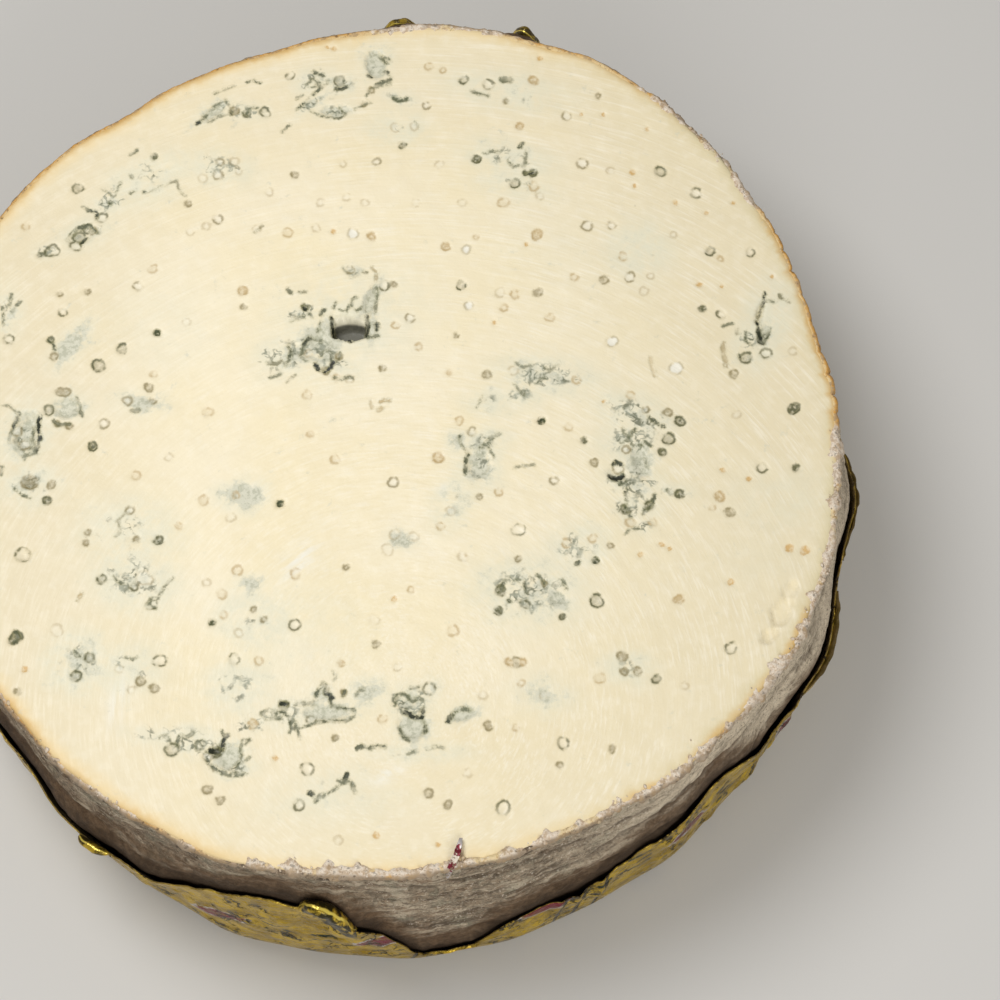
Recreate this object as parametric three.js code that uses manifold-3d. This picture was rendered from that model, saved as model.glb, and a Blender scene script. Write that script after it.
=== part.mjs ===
// A half wheel of blue cheese, cut across and lying cut face up, with the lower part of its
// gold foil wrap still round its side and underside. The foil's upper edge is torn.
//
// Millimetres, +Z up. The origin is the middle of the underside, and the shown side faces -Y.
// Angles run counter-clockwise from +X, seen from above, and the named ones are in degrees.

import * as THREE from 'three';
import { mergeVertices } from 'three/addons/utils/BufferGeometryUtils.js';
import Module from 'manifold-3d';

// ---- driving dimensions ----

const HEIGHT = 88; // floor to cut face
const CUT_RADIUS = 145.5; // mean radius of the cut face

// The cut face isn't a true circle: its radius swings by these waves round the wheel.
const OUTLINE_WAVES = [
  { count: 1, depth: 1.0, phase: 176 },
  { count: 2, depth: 1.2, phase: 52 },
  { count: 3, depth: 1.5, phase: -170 },
  { count: 4, depth: 2.0, phase: -89 },
];

// The soft side has spread below the cut: a little all round, and most at the front.
const SPREAD_ALL_ROUND = 1.6;
const SPREAD_FRONT = 5.2;
const SPREAD_FRONT_ANGLE = -80;
const SPREAD_FRONT_POWER = 6; // how sharply the front spread fades to the sides
const SPREAD_DEPTH_SHARE = 0.8; // share of the height over which the spread grows
const HEEL_RADIUS = 9.5; // round of the lower edge

// Shallow grooves pressed into the rind, running round the side at these heights.
const GROOVES = [
  { z: 74, depth: 1.1, halfWidth: 4.5, wander: 3.0, turns: 3, phase: 10 },
  { z: 60, depth: 1.3, halfWidth: 5.0, wander: 3.5, turns: 2, phase: 130 },
  { z: 45, depth: 1.2, halfWidth: 5.0, wander: 3.0, turns: 4, phase: 60 },
  { z: 30, depth: 1.0, halfWidth: 5.0, wander: 2.5, turns: 3, phase: 220 },
];

// The crumbling rim between the paste and the rind.
const RIM_WIDTH = 4.2; // across the cut face
const RIM_DROP = 2.4; // how far the rind's shoulder lies below the cut face
const RIM_CRUMB = 1.1; // most that the rim's crumbs stand in or out
const RIND_CRUMB = 0.3; // the same on the side
const FACE_SWELL = 0.5; // unevenness of the cut face

// Openings in the cut: place across the face, size, and turn of the long side.
const POCKETS = [
  { x: -10.5, y: 37.5, length: 11, width: 9, depth: 8, turn: 10 }, // the one large hole
  { x: -5.6, y: 46.5, length: 11, width: 4, depth: 3, turn: 72 },
  { x: -17, y: 34, length: 7, width: 5, depth: 2.5, turn: -30 },
  { x: -25.8, y: 41.6, length: 4.5, width: 3, depth: 2, turn: 20 },
  { x: 121.2, y: 41.5, length: 10, width: 3, depth: 3, turn: 68 },
  { x: 117.4, y: 33.5, length: 6, width: 3.2, depth: 2.2, turn: 30 },
  { x: -113, y: 0.5, length: 8, width: 4, depth: 2.5, turn: 60 },
  { x: -111, y: -18, length: 6, width: 5, depth: 2, turn: 0 },
  { x: -5.2, y: 130, length: 8, width: 6, depth: 2.2, turn: 60 },
  { x: 28.7, y: 96.5, length: 5, width: 3, depth: 2, turn: -20 },
  { x: 45, y: 92, length: 6, width: 4, depth: 2, turn: -50 },
  { x: 78, y: -13.5, length: 9, width: 4, depth: 2.2, turn: 80 },
  { x: 76.4, y: -26, length: 6, width: 4, depth: 2.4, turn: 50 },
  { x: -29, y: -91, length: 8, width: 4, depth: 2.2, turn: 15 },
  { x: 9.7, y: -93, length: 11, width: 8, depth: 2.2, turn: 70 },
  { x: -50.4, y: -106.5, length: 7, width: 4, depth: 2.4, turn: -20 },
  { x: 36.6, y: -54, length: 5, width: 3.4, depth: 2, turn: 40 },
  { x: 49.6, y: 3.4, length: 3.4, width: 3, depth: 2.6, turn: 0 },
  { x: -54, y: 113, length: 8, width: 4, depth: 2, turn: 20 },
  { x: -98, y: 69, length: 8, width: 4, depth: 2, turn: 50 },
  { x: 126.5, y: -39.8, length: 4, width: 3.4, depth: 2.6, turn: 0 },
  { x: 79.8, y: 90.7, length: 4, width: 2.6, depth: 2, turn: -40 },
  { x: 123.6, y: -58, length: 12, width: 6, depth: 2.6, turn: 60 },
  { x: 127.5, y: -68, length: 7, width: 5, depth: 2.4, turn: 30 },
];
const POCKET_ROUGHNESS = 0.12; // share by which a pocket's wall strays from an ellipsoid

// The foil wrap, crumpled with its paper lining.
const FOIL_THICKNESS = 0.8;
const FOIL_GAP = 0.8; // clear space between the foil and the rind
const FOIL_EDGE = 47; // usual height of the torn edge
const FOIL_LEAST_WALL = 2; // least height of the upright wall above the heel
const FOIL_EDGE_WAVES = [
  { count: 7, depth: 1.4, phase: 40 },
  { count: 13, depth: 1.1, phase: 200 },
  { count: 23, depth: 0.8, phase: 90 },
];

// Where the torn edge rises above its usual height or falls below it.
const FOIL_TEARS = [
  { angle: -105, halfWidth: 11, rise: 15 }, // the broad panel at the front left
  { angle: -83, halfWidth: 6.5, rise: -38 }, // the deep notch that bares the rind
  { angle: -67, halfWidth: 12, rise: -12 },
  { angle: -34.5, halfWidth: 4, rise: -15 },
  { angle: -13, halfWidth: 15, rise: 12 }, // the loose flap on the right
  { angle: 40, halfWidth: 14, rise: 8 },
  { angle: 73, halfWidth: 4, rise: 29 },
  { angle: 89, halfWidth: 5, rise: 29 },
  { angle: 112, halfWidth: 8, rise: 9 },
  { angle: 142, halfWidth: 5, rise: 26 },
  { angle: 170, halfWidth: 9, rise: -10 },
];

// Where the foil stands off from the rind at its torn edge.
const FOIL_FLAPS = [
  { angle: -150, halfWidth: 12, standOff: 2.0 },
  { angle: -128, halfWidth: 9, standOff: 4.4 },
  { angle: -118, halfWidth: 4, standOff: 4.0 },
  { angle: -93.5, halfWidth: 2.6, standOff: 3.2 }, // the curled corner beside the notch
  { angle: -39, halfWidth: 4, standOff: 2.4 },
  { angle: -24, halfWidth: 7, standOff: 6.0 },
  { angle: -4, halfWidth: 9, standOff: 6.0 },
  { angle: 30, halfWidth: 14, standOff: 2.5 },
  { angle: 73, halfWidth: 5, standOff: 4.5 },
  { angle: 89, halfWidth: 6, standOff: 6.0 },
  { angle: 142, halfWidth: 6, standOff: 3.4 },
];
const FOLD_DEPTH = 0.9; // how far the foil's upright folds stand out
const FOLD_COUNT = 29;
const FOLD_TWIST = 2.6; // radians by which the folds lean from heel to edge

// Mesh steps.
const SEGMENTS = 120;
const FACE_RING_SHARES = [0.4, 0.75, 0.92];
const SIDE_RING_HEIGHTS = [81, 75, 69, 63, 56, 49, 42, 35, 28, 21];
const HEEL_RING_ANGLES = [70, 45, 20];
const FOIL_WALL_STEPS = 4;
const RANDOM_SEED = 20816;

// ---- small helpers ----

const radians = THREE.MathUtils.degToRad;
const TURN = 2 * Math.PI;

/** Seeded random numbers from -1 to 1. */
function makeRandom(seed) {
  let state = seed;
  return function next() {
    state = (state + 0x6d2b79f5) | 0;
    let t = Math.imul(state ^ (state >>> 15), 1 | state);
    t = (t + Math.imul(t ^ (t >>> 7), 61 | t)) ^ t;
    return ((t ^ (t >>> 14)) >>> 0) / 2 ** 31 - 1;
  };
}

/** Sum of cosine waves round the wheel. */
function waves(list, angle) {
  return list.reduce((sum, w) => sum + w.depth * Math.cos(w.count * angle - radians(w.phase)), 0);
}

/** A smooth hump, 1 at centre degrees and near 0 beyond twice halfWidth degrees, that wraps round. */
function hump(angle, centre, halfWidth) {
  const offset = Math.atan2(Math.sin(angle - radians(centre)), Math.cos(angle - radians(centre)));
  return Math.exp(-((offset / radians(halfWidth)) ** 2));
}

/** Angles of the steps round the wheel. */
function stepAngles() {
  return Array.from({ length: SEGMENTS }, (_, i) => (i / SEGMENTS) * TURN);
}

/** One ring of points, from a function that gives radius and height at an angle. */
function ring(radiusAndHeight) {
  return stepAngles().map((angle) => {
    const [radius, z] = radiusAndHeight(angle);
    return [radius * Math.cos(angle), radius * Math.sin(angle), z];
  });
}

/** A closed surface through rings, with a point on the axis before the first and after the last. */
function closedSurface(firstPole, rings, lastPole) {
  const points = [firstPole, ...rings.flat(), lastPole];
  const last = points.length - 1;
  const at = (row, step) => 1 + row * SEGMENTS + (step % SEGMENTS);
  const faces = [];
  for (let step = 0; step < SEGMENTS; step += 1) {
    faces.push(0, at(0, step), at(0, step + 1));
    for (let row = 0; row + 1 < rings.length; row += 1) {
      faces.push(at(row, step), at(row + 1, step), at(row + 1, step + 1));
      faces.push(at(row, step), at(row + 1, step + 1), at(row, step + 1));
    }
    faces.push(at(rings.length - 1, step), last, at(rings.length - 1, step + 1));
  }
  const geometry = new THREE.BufferGeometry();
  geometry.setAttribute('position', new THREE.Float32BufferAttribute(points.flat(), 3));
  geometry.setIndex(faces);
  geometry.computeVertexNormals();
  return geometry;
}

// ---- the wheel's form ----

const UNDERSIDE = FOIL_THICKNESS + FOIL_GAP; // the cheese's own underside
const HEEL_TOP = UNDERSIDE + HEEL_RADIUS;

function cutRadius(angle) {
  return CUT_RADIUS + waves(OUTLINE_WAVES, angle);
}

function cutHeight(x, y) {
  return HEIGHT + FACE_SWELL * Math.sin(x / 41 + 0.8) * Math.cos(y / 47 - 0.5);
}

function spread(angle) {
  const toFront = Math.max(0, Math.cos(angle - radians(SPREAD_FRONT_ANGLE)));
  return SPREAD_ALL_ROUND + SPREAD_FRONT * toFront ** SPREAD_FRONT_POWER;
}

/** Radius of the smooth side at a height: the cut's outline, spreading on a quarter sine. */
function sideRadius(angle, z) {
  const share = THREE.MathUtils.clamp((HEIGHT - z) / (HEIGHT * SPREAD_DEPTH_SHARE), 0, 1);
  return cutRadius(angle) + spread(angle) * Math.sin((share * Math.PI) / 2);
}

/** A point of the rounded lower edge, offset outwards: 0 degrees lies under, 90 meets the side. */
function heelPoint(angle, arcDegrees, offset) {
  const arc = radians(arcDegrees);
  const centre = sideRadius(angle, HEEL_TOP) - HEEL_RADIUS;
  const radius = HEEL_RADIUS + offset;
  return [centre + radius * Math.sin(arc), HEEL_TOP - radius * Math.cos(arc)];
}

function grooveDepth(angle, z) {
  return GROOVES.reduce((sum, g) => {
    const middle = g.z + g.wander * Math.sin(g.turns * angle + radians(g.phase));
    const strength = 0.65 + 0.35 * Math.cos((g.turns + 2) * angle - radians(g.phase));
    return sum + g.depth * strength * Math.exp(-(((z - middle) / g.halfWidth) ** 2));
  }, 0);
}

// ---- the cheese ----

function faceRing(share) {
  return ring((angle) => {
    const radius = share * (cutRadius(angle) - RIM_WIDTH);
    return [radius, cutHeight(radius * Math.cos(angle), radius * Math.sin(angle))];
  });
}

function rimRings(random) {
  const pasteEdge = faceRing(1);
  const crumbs = ring((angle) => [
    cutRadius(angle) - RIM_WIDTH / 2 + RIM_CRUMB * random(),
    HEIGHT + 0.5 * RIM_CRUMB * random(),
  ]);
  const shoulder = ring((angle) => [
    cutRadius(angle) + 0.5 * RIM_CRUMB * random(),
    HEIGHT - RIM_DROP + 0.5 * RIM_CRUMB * random(),
  ]);
  return [pasteEdge, crumbs, shoulder];
}

function sideRings(random) {
  return SIDE_RING_HEIGHTS.map((z) =>
    ring((angle) => [sideRadius(angle, z) - grooveDepth(angle, z) + RIND_CRUMB * random(), z]),
  );
}

function cheeseBody() {
  const random = makeRandom(RANDOM_SEED);
  const rings = [
    ...FACE_RING_SHARES.map(faceRing),
    ...rimRings(random),
    ...sideRings(random),
    ...HEEL_RING_ANGLES.map((arc) => ring((angle) => heelPoint(angle, arc, 0))),
    ring((angle) => heelPoint(angle, 0, 0)),
  ];
  return closedSurface([0, 0, cutHeight(0, 0)], rings, [0, 0, UNDERSIDE]);
}

/** A rough ellipsoid, sunk to its middle in the cut face. */
function pocketCutter(pocket, random) {
  const geometry = new THREE.IcosahedronGeometry(1, 1);
  geometry.deleteAttribute('normal');
  geometry.deleteAttribute('uv');
  const merged = mergeVertices(geometry);
  const position = merged.getAttribute('position');
  for (let i = 0; i < position.count; i += 1) {
    const reach = 1 + POCKET_ROUGHNESS * random();
    position.setXYZ(i, position.getX(i) * reach, position.getY(i) * reach, position.getZ(i) * reach);
  }
  merged.scale(pocket.length / 2, pocket.width / 2, pocket.depth);
  merged.rotateZ(radians(pocket.turn));
  merged.translate(pocket.x, pocket.y, cutHeight(pocket.x, pocket.y));
  return merged;
}

const wasm = await Module();
wasm.setup();

function toManifold(geometry) {
  return new wasm.Manifold(
    new wasm.Mesh({
      numProp: 3,
      vertProperties: new Float32Array(geometry.getAttribute('position').array),
      triVerts: new Uint32Array(geometry.getIndex().array),
    }),
  );
}

function toGeometry(solid) {
  const mesh = solid.getMesh();
  const geometry = new THREE.BufferGeometry();
  geometry.setAttribute('position', new THREE.BufferAttribute(mesh.vertProperties, mesh.numProp));
  geometry.setIndex(new THREE.BufferAttribute(mesh.triVerts, 1));
  geometry.computeVertexNormals();
  return geometry;
}

function makeCheese() {
  const random = makeRandom(RANDOM_SEED + 1);
  const cutters = POCKETS.map((pocket) => toManifold(pocketCutter(pocket, random)));
  const cut = cutters.reduce((body, cutter) => body.subtract(cutter), toManifold(cheeseBody()));
  const material = new THREE.MeshStandardMaterial({ color: 0xf1e6c6, roughness: 0.55, metalness: 0 });
  const mesh = new THREE.Mesh(toGeometry(cut), material);
  mesh.name = 'cheese';
  return mesh;
}

// ---- the foil ----

function foilEdgeHeight(angle) {
  const tears = FOIL_TEARS.reduce((sum, t) => sum + t.rise * hump(angle, t.angle, t.halfWidth), 0);
  const torn = FOIL_EDGE + tears + waves(FOIL_EDGE_WAVES, angle);
  return Math.max(HEEL_TOP + FOIL_LEAST_WALL, torn);
}

function foilStandOff(angle) {
  return FOIL_FLAPS.reduce((sum, f) => sum + f.standOff * hump(angle, f.angle, f.halfWidth), 0);
}

/** How far the upright folds stand out, from 0 at the heel to the full depth at the torn edge. */
function foldDepth(angle, share) {
  const lean = FOLD_TWIST * share + 2 * Math.sin(3 * angle);
  return FOLD_DEPTH * share * (0.5 + 0.5 * Math.sin(FOLD_COUNT * angle + lean));
}

/** A point of the foil's upright wall: share 0 meets the heel and 1 is the torn edge. */
function foilWallPoint(angle, share, offset) {
  const z = HEEL_TOP + share * (foilEdgeHeight(angle) - HEEL_TOP);
  const radius = sideRadius(angle, z) + offset + foldDepth(angle, share);
  return [radius + foilStandOff(angle) * share ** 2, z];
}

/** One face of the foil from the underside up to the torn edge, offset outwards from the cheese. */
function foilFace(offset) {
  const heel = [0, ...HEEL_RING_ANGLES.toReversed()];
  const shares = Array.from({ length: FOIL_WALL_STEPS + 1 }, (_, i) => i / FOIL_WALL_STEPS);
  return [
    ...heel.map((arc) => ring((angle) => heelPoint(angle, arc, offset))),
    ...shares.map((share) => ring((angle) => foilWallPoint(angle, share, offset))),
  ];
}

function makeFoil() {
  const inner = foilFace(FOIL_GAP);
  const outer = foilFace(FOIL_GAP + FOIL_THICKNESS);
  const rings = [...inner, ...outer.toReversed()];
  const geometry = closedSurface([0, 0, FOIL_THICKNESS], rings, [0, 0, 0]);
  const material = new THREE.MeshStandardMaterial({ color: 0xb8983a, roughness: 0.38, metalness: 0.9 });
  const mesh = new THREE.Mesh(geometry, material);
  mesh.name = 'foil';
  return mesh;
}

// ---- the whole ----

const halfWheel = new THREE.Group();
halfWheel.add(makeCheese(), makeFoil());

export default halfWheel;
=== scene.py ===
"""Looks of a half wheel of blue cheese, cut across, with its gold foil wrap round its foot.

Millimetres, in the part's own frame: +Z up, origin in the middle of the underside, shown side
towards -Y. Angles run counter-clockwise from +X, seen from above. The meshes are made in metres.
A mark on the cut face is placed by its pixel in the 1000 x 1000 photograph, carried down the
camera's ray to the face, so the sizes that go with such a mark are pixels too.
"""

import math

import bpy
import numpy as np
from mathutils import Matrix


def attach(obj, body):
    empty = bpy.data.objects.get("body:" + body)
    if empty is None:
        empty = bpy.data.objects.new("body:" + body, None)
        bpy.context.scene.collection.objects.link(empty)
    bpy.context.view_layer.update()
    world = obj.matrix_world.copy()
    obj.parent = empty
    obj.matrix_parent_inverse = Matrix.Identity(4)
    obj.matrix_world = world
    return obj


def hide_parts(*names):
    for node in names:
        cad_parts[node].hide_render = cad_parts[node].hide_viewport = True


MM = 0.001
TURN = 2 * math.pi

# ---- the camera, which also places the marks ----

CAMERA_PLACE = (36.6, -356.6, 968.8)
CAMERA_ELEVATION = 69.3
FOCAL_PIXELS = 3000
PHOTO_SIZE = 1000
SENSOR_WIDTH = 36
PIXELS_PER_MM = 3.16  # on the cut face

# ---- the wheel, as in the part's source ----

HEIGHT = 88
CUT_RADIUS = 145.5
OUTLINE_WAVES = ((1, 1.0, 176), (2, 1.2, 52), (3, 1.5, -170), (4, 2.0, -89))
OUTLINE_RIPPLES = ((13, 0.4, 30), (19, 0.3, 100), (31, 0.25, 200))
SCALLOP_COUNT = 116
SCALLOP_DEPTH = 1.3
SCALLOP_CENTRE = 15
SCALLOP_HALF_WIDTH = 17
SCALLOP_DRIFT = (0.004, 11)  # share of a turn by which they are unevenly spaced, and waves of it
SCALLOP_UNEVEN = (0.6, 0.4, 17)  # their middle strength, how much it swings, and waves of it
FACE_SWELL = 0.5
SWELL_X = (41, 0.8)  # mm for each radian of the face's swell, and its phase
SWELL_Y = (47, -0.5)
SPREAD_ALL_ROUND = 1.6
SPREAD_FRONT = 5.2
SPREAD_FRONT_ANGLE = -80
SPREAD_FRONT_POWER = 6
SPREAD_DEPTH_SHARE = 0.8
UNDERSIDE = 1.6
HEEL_RADIUS = 9.5
HEEL_TOP = UNDERSIDE + HEEL_RADIUS
GROOVES = (  # height, depth, half width, wander, turns, phase
    (74, 1.1, 4.5, 3.0, 3, 10),
    (60, 1.3, 5.0, 3.5, 2, 130),
    (45, 1.2, 5.0, 3.0, 4, 60),
    (30, 1.0, 5.0, 2.5, 3, 220),
)
GROOVE_FADE = 0.35

FOIL_GAP = 0.8
FOIL_THICKNESS = 0.5
FOIL_OUTER = FOIL_GAP + FOIL_THICKNESS
FOIL_EDGE = 47
FOIL_LEAST_WALL = 2
FOIL_EDGE_WAVES = ((7, 1.4, 40), (13, 1.1, 200), (23, 0.8, 90))
FOIL_TEARS = (  # angle, half width, rise
    (-105, 11, 15), (-83, 6.5, -38), (-67, 12, -12), (-34.5, 4, -15), (-13, 15, 12), (40, 14, 8),
    (73, 4, 34), (89, 5, 34), (112, 8, 9), (142, 5, 31), (170, 9, -10),
)
FOIL_FLAPS = (  # angle, half width, stand-off
    (-150, 12, 2.0), (-128, 9, 4.4), (-118, 4, 4.0), (-93.5, 2.6, 3.2), (-39, 4, 2.4),
    (-24, 7, 6.0), (-4, 9, 6.0), (30, 14, 2.5), (73, 5, 4.5), (89, 6, 6.0), (142, 6, 3.4),
)
FOLD_DEPTH = 0.9
FOLD_COUNT = 29
FOLD_TWIST = 2.6

# ---- numbers of points ----

FACE_STEPS = 301  # points along each side of the cut face's grid
RIM_COLUMNS = 2400
RIND_COLUMNS = 1056
FOIL_COLUMNS = 1056

# ---- small helpers: waves, humps and random relief ----

HASH_STEPS = (374761393, 668265263, 1440662683)
HASH_SEED_STEP = 974634777
HASH_MIX = 1274126177
LOW_32_BITS = 0xFFFFFFFF
LOW_24_BITS = 0xFFFFFF
LAYER_SEED_STEP = 7
LAYER_GAIN = 1.6  # brings layered noise back to about -1 to 1
GRAIN_EDGE = 0.45  # share of a grain's spacing over which it falls to the crack
FAR = 9.0  # mm: the distance given where no mark is near
DISTANCES = ("eye_line", "stroke_line", "oval", "dash")  # stored values that are distances


def radial(angle):
    return np.stack([np.cos(angle), np.sin(angle)], axis=-1)


def ring_points(angle, radius, z):
    """Points round the axis, at a radius and a height."""
    radius = radius + 0 * angle
    z = z + 0 * angle
    return np.concatenate([radius[..., None] * radial(angle), z[..., None]], axis=-1)


def waves(terms, angle):
    """Sum of depth * cos(count * angle - phase)."""
    return sum(d * np.cos(n * angle - math.radians(p)) for n, d, p in terms)


def turn_between(angle, degrees):
    """Signed turn from degrees to angle, wrapped to half a turn either way."""
    offset = angle - math.radians(degrees)
    return np.arctan2(np.sin(offset), np.cos(offset))


def hump(angle, centre, half_width):
    """exp(-(turn / half width) ** 2) about centre degrees."""
    return np.exp(-((turn_between(angle, centre) / math.radians(half_width)) ** 2))


def humps(terms, angle):
    """Sum of size * hump, over (centre, half width, size)."""
    return sum(size * hump(angle, centre, width) for centre, width, size in terms)


def smooth_step(low, high, value):
    """0 below low, 1 above high and 3t^2 - 2t^3 between."""
    t = np.clip((value - low) / (high - low), 0, 1)
    return t * t * (3 - 2 * t)


def lattice_random(cell, seed):
    """A repeatable number from 0 to 1 for each whole-number place, by an integer hash."""
    mixed = sum(cell[..., axis] * step for axis, step in enumerate(HASH_STEPS))
    mixed = (mixed + seed * HASH_SEED_STEP) & LOW_32_BITS
    mixed = ((mixed ^ (mixed >> 13)) * HASH_MIX) & LOW_32_BITS
    mixed = ((mixed ^ (mixed >> 16)) * HASH_STEPS[1]) & LOW_32_BITS
    return ((mixed ^ (mixed >> 15)) & LOW_24_BITS) / LOW_24_BITS


def noise(points, size, seed):
    """Random values at places size apart, blended by 6t^5 - 15t^4 + 10t^3, from -1 to 1."""
    scaled = points / size
    cell = np.floor(scaled).astype(np.int64)
    t = scaled - cell
    blend = t * t * t * (t * (t * 6 - 15) + 10)
    total = np.zeros(points.shape[:-1])
    for corner in np.ndindex(2, 2, 2):
        weight = np.prod(np.where(corner, blend, 1 - blend), axis=-1)
        total += weight * lattice_random(cell + np.array(corner), seed)
    return 2 * total - 1


def layered_noise(points, size, seed, layers):
    """Noise plus finer layers of half the size and half the strength, from about -1 to 1."""
    strengths = [0.5**layer for layer in range(layers)]
    total = 0
    for layer, strength in enumerate(strengths):
        total = total + strength * noise(points, size * strength, seed + LAYER_SEED_STEP * layer)
    return total / sum(strengths) * LAYER_GAIN


def relief_sum(points, terms):
    """Sum of depth * layered noise, over (depth, size, seed, layers)."""
    return sum(depth * layered_noise(points, *rest) for depth, *rest in terms)


def cell_distance(points, size, seed):
    """Distances to the two nearest of the points strewn one in each cube of that size, over it."""
    scaled = points / size
    cell = np.floor(scaled).astype(np.int64)
    nearest = np.full(points.shape[:-1], FAR)
    second = nearest.copy()
    for step in np.ndindex(3, 3, 3):
        place = cell + np.array(step) - 1
        strewn = np.stack([lattice_random(place, seed + k) for k in range(3)], axis=-1)
        distance = np.linalg.norm(place + strewn - scaled, axis=-1)
        second = np.minimum(second, np.maximum(distance, nearest))
        nearest = np.minimum(nearest, distance)
    return nearest, second


def grains(points, size, seed):
    """Rounded grains packed together: 1 in a grain's middle, falling to 0 in the cracks."""
    nearest, second = cell_distance(points, size, seed)
    return smooth_step(0.0, GRAIN_EDGE, second - nearest)


# ---- the wheel's form ----


def cut_radius(angle):
    """Radius of the cut's outline: waves all round, and torn scallops at the right.

    The scallops are rounded outwards: each draws in as the fourth power of the way to its notch.
    """
    outline = CUT_RADIUS + waves(OUTLINE_WAVES, angle) + waves(OUTLINE_RIPPLES, angle)
    drift, drift_waves = SCALLOP_DRIFT
    count = SCALLOP_COUNT * (angle / TURN + drift * np.sin(drift_waves * angle))
    to_notch = np.abs(2 * (count - np.floor(count)) - 1)
    middle, swing, strength_waves = SCALLOP_UNEVEN
    strength = middle + swing * np.sin(strength_waves * angle)
    strength = strength * hump(angle, SCALLOP_CENTRE, SCALLOP_HALF_WIDTH)
    return outline - SCALLOP_DEPTH * to_notch**4 * strength


def cut_height(x, y):
    """The face swells as one sine along x times one along y."""
    along = np.sin(x / SWELL_X[0] + SWELL_X[1])
    return HEIGHT + FACE_SWELL * along * np.cos(y / SWELL_Y[0] + SWELL_Y[1])


def side_radius(angle, z):
    """Radius of the smooth side: the cut's outline, spreading downwards on a quarter sine."""
    to_front = np.maximum(0, np.cos(angle - math.radians(SPREAD_FRONT_ANGLE)))
    spread = SPREAD_ALL_ROUND + SPREAD_FRONT * to_front**SPREAD_FRONT_POWER
    share = np.clip((HEIGHT - z) / (HEIGHT * SPREAD_DEPTH_SHARE), 0, 1)
    return cut_radius(angle) + spread * np.sin(share * math.pi / 2)


def heel_point(angle, arc_degrees, offset):
    """Radius and height on the rounded lower edge: 0 degrees lies under, 90 meets the side."""
    arc = math.radians(arc_degrees)
    centre = side_radius(angle, HEEL_TOP) - HEEL_RADIUS
    radius = HEEL_RADIUS + offset
    return centre + radius * math.sin(arc), HEEL_TOP - radius * math.cos(arc) + 0 * angle


def groove_depth(angle, z):
    """Shallow grooves round the side, each wandering up and down and fading in and out."""
    total = 0
    for height, depth, half_width, wander, turns, phase in GROOVES:
        middle = height + wander * np.sin(turns * angle + math.radians(phase))
        fade = np.cos((turns + 2) * angle - math.radians(phase))
        strength = 1 - GROOVE_FADE + GROOVE_FADE * fade
        total = total + depth * strength * np.exp(-(((z - middle) / half_width) ** 2))
    return total


def foil_edge_height(angle):
    rise = sum(r * hump(angle, centre, width) for centre, width, r in FOIL_TEARS)
    torn = FOIL_EDGE + rise + waves(FOIL_EDGE_WAVES, angle)
    return np.maximum(HEEL_TOP + FOIL_LEAST_WALL, torn)


def foil_stand_off(angle):
    return sum(s * hump(angle, centre, width) for centre, width, s in FOIL_FLAPS)


# ---- meshes ----

STRIP_FOOT = 0.01  # empty share of a UV strip's height under it
STRIP_HEIGHT = 0.97
STRIP_END = 0.002  # empty share of the UV's width at either end of a strip
POLES = 2  # points that a shell has besides those of its rows


def add_to_scene(name, data):
    made = bpy.data.objects.new(name, data)
    bpy.context.scene.collection.objects.link(made)
    return made


def make_piece(name, points, faces, corner_uv, material):
    """A smooth-shaded object from points in mm, triangles, and a UV for each corner."""
    mesh = bpy.data.meshes.new(name)
    mesh.vertices.add(len(points))
    mesh.vertices.foreach_set("co", (points * MM).astype(np.float32).ravel())
    mesh.loops.add(faces.size)
    mesh.loops.foreach_set("vertex_index", faces.astype(np.int32).ravel())
    mesh.polygons.add(len(faces))
    mesh.polygons.foreach_set("loop_start", np.arange(0, faces.size, 3, dtype=np.int32))
    if corner_uv is not None:
        layer = mesh.uv_layers.new(name="OFBake")
        layer.uv.foreach_set("vector", corner_uv.astype(np.float32).ravel())
    mesh.update(calc_edges=True)
    mesh.validate()
    mesh.shade_smooth()
    mesh.materials.append(material)
    return add_to_scene(name, mesh)


def add_values(piece, fields, hidden=0):
    """Stores one number or three for each point, for the piece's material to read.

    The last hidden points aren't in the fields. They get FAR as a distance, and 0 otherwise.
    """
    for name, values in fields.items():
        kind, key = ("FLOAT_VECTOR", "vector") if values.ndim == 2 else ("FLOAT", "value")
        ends = [(0, hidden)] + [(0, 0)] * (values.ndim - 1)
        padded = np.pad(values, ends, constant_values=FAR if name in DISTANCES else 0)
        attribute = piece.data.attributes.new(name, kind, "POINT")
        attribute.data.foreach_set(key, padded.astype(np.float32).ravel())


def place_piece(piece, node):
    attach(piece, "root")
    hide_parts(node)


def wrapped_faces(rows, columns, closed_rows=False):
    """Triangles of a grid that wraps round its columns, and each corner's (column, row).

    Point number is row * columns + column. The last column's corners count on to columns.
    With closed_rows the last row joins the first too, which makes a ring-shaped tube.
    """
    row_steps = rows if closed_rows else rows - 1
    row, column = np.meshgrid(np.arange(row_steps), np.arange(columns), indexing="ij")
    row, column = row.ravel(), column.ravel()
    one = np.array([[0, 0], [1, 0], [1, 1]])
    other = np.array([[0, 0], [1, 1], [0, 1]])
    corners = []
    for steps in (one, other):
        at_column = column[:, None] + steps[:, 0]
        at_row = row[:, None] + steps[:, 1]
        corners.append(np.stack([at_column, at_row], axis=-1))
    corners = np.concatenate(corners)
    index = (corners[..., 1] % rows) * columns + corners[..., 0] % columns
    return index, corners.astype(float)


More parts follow.
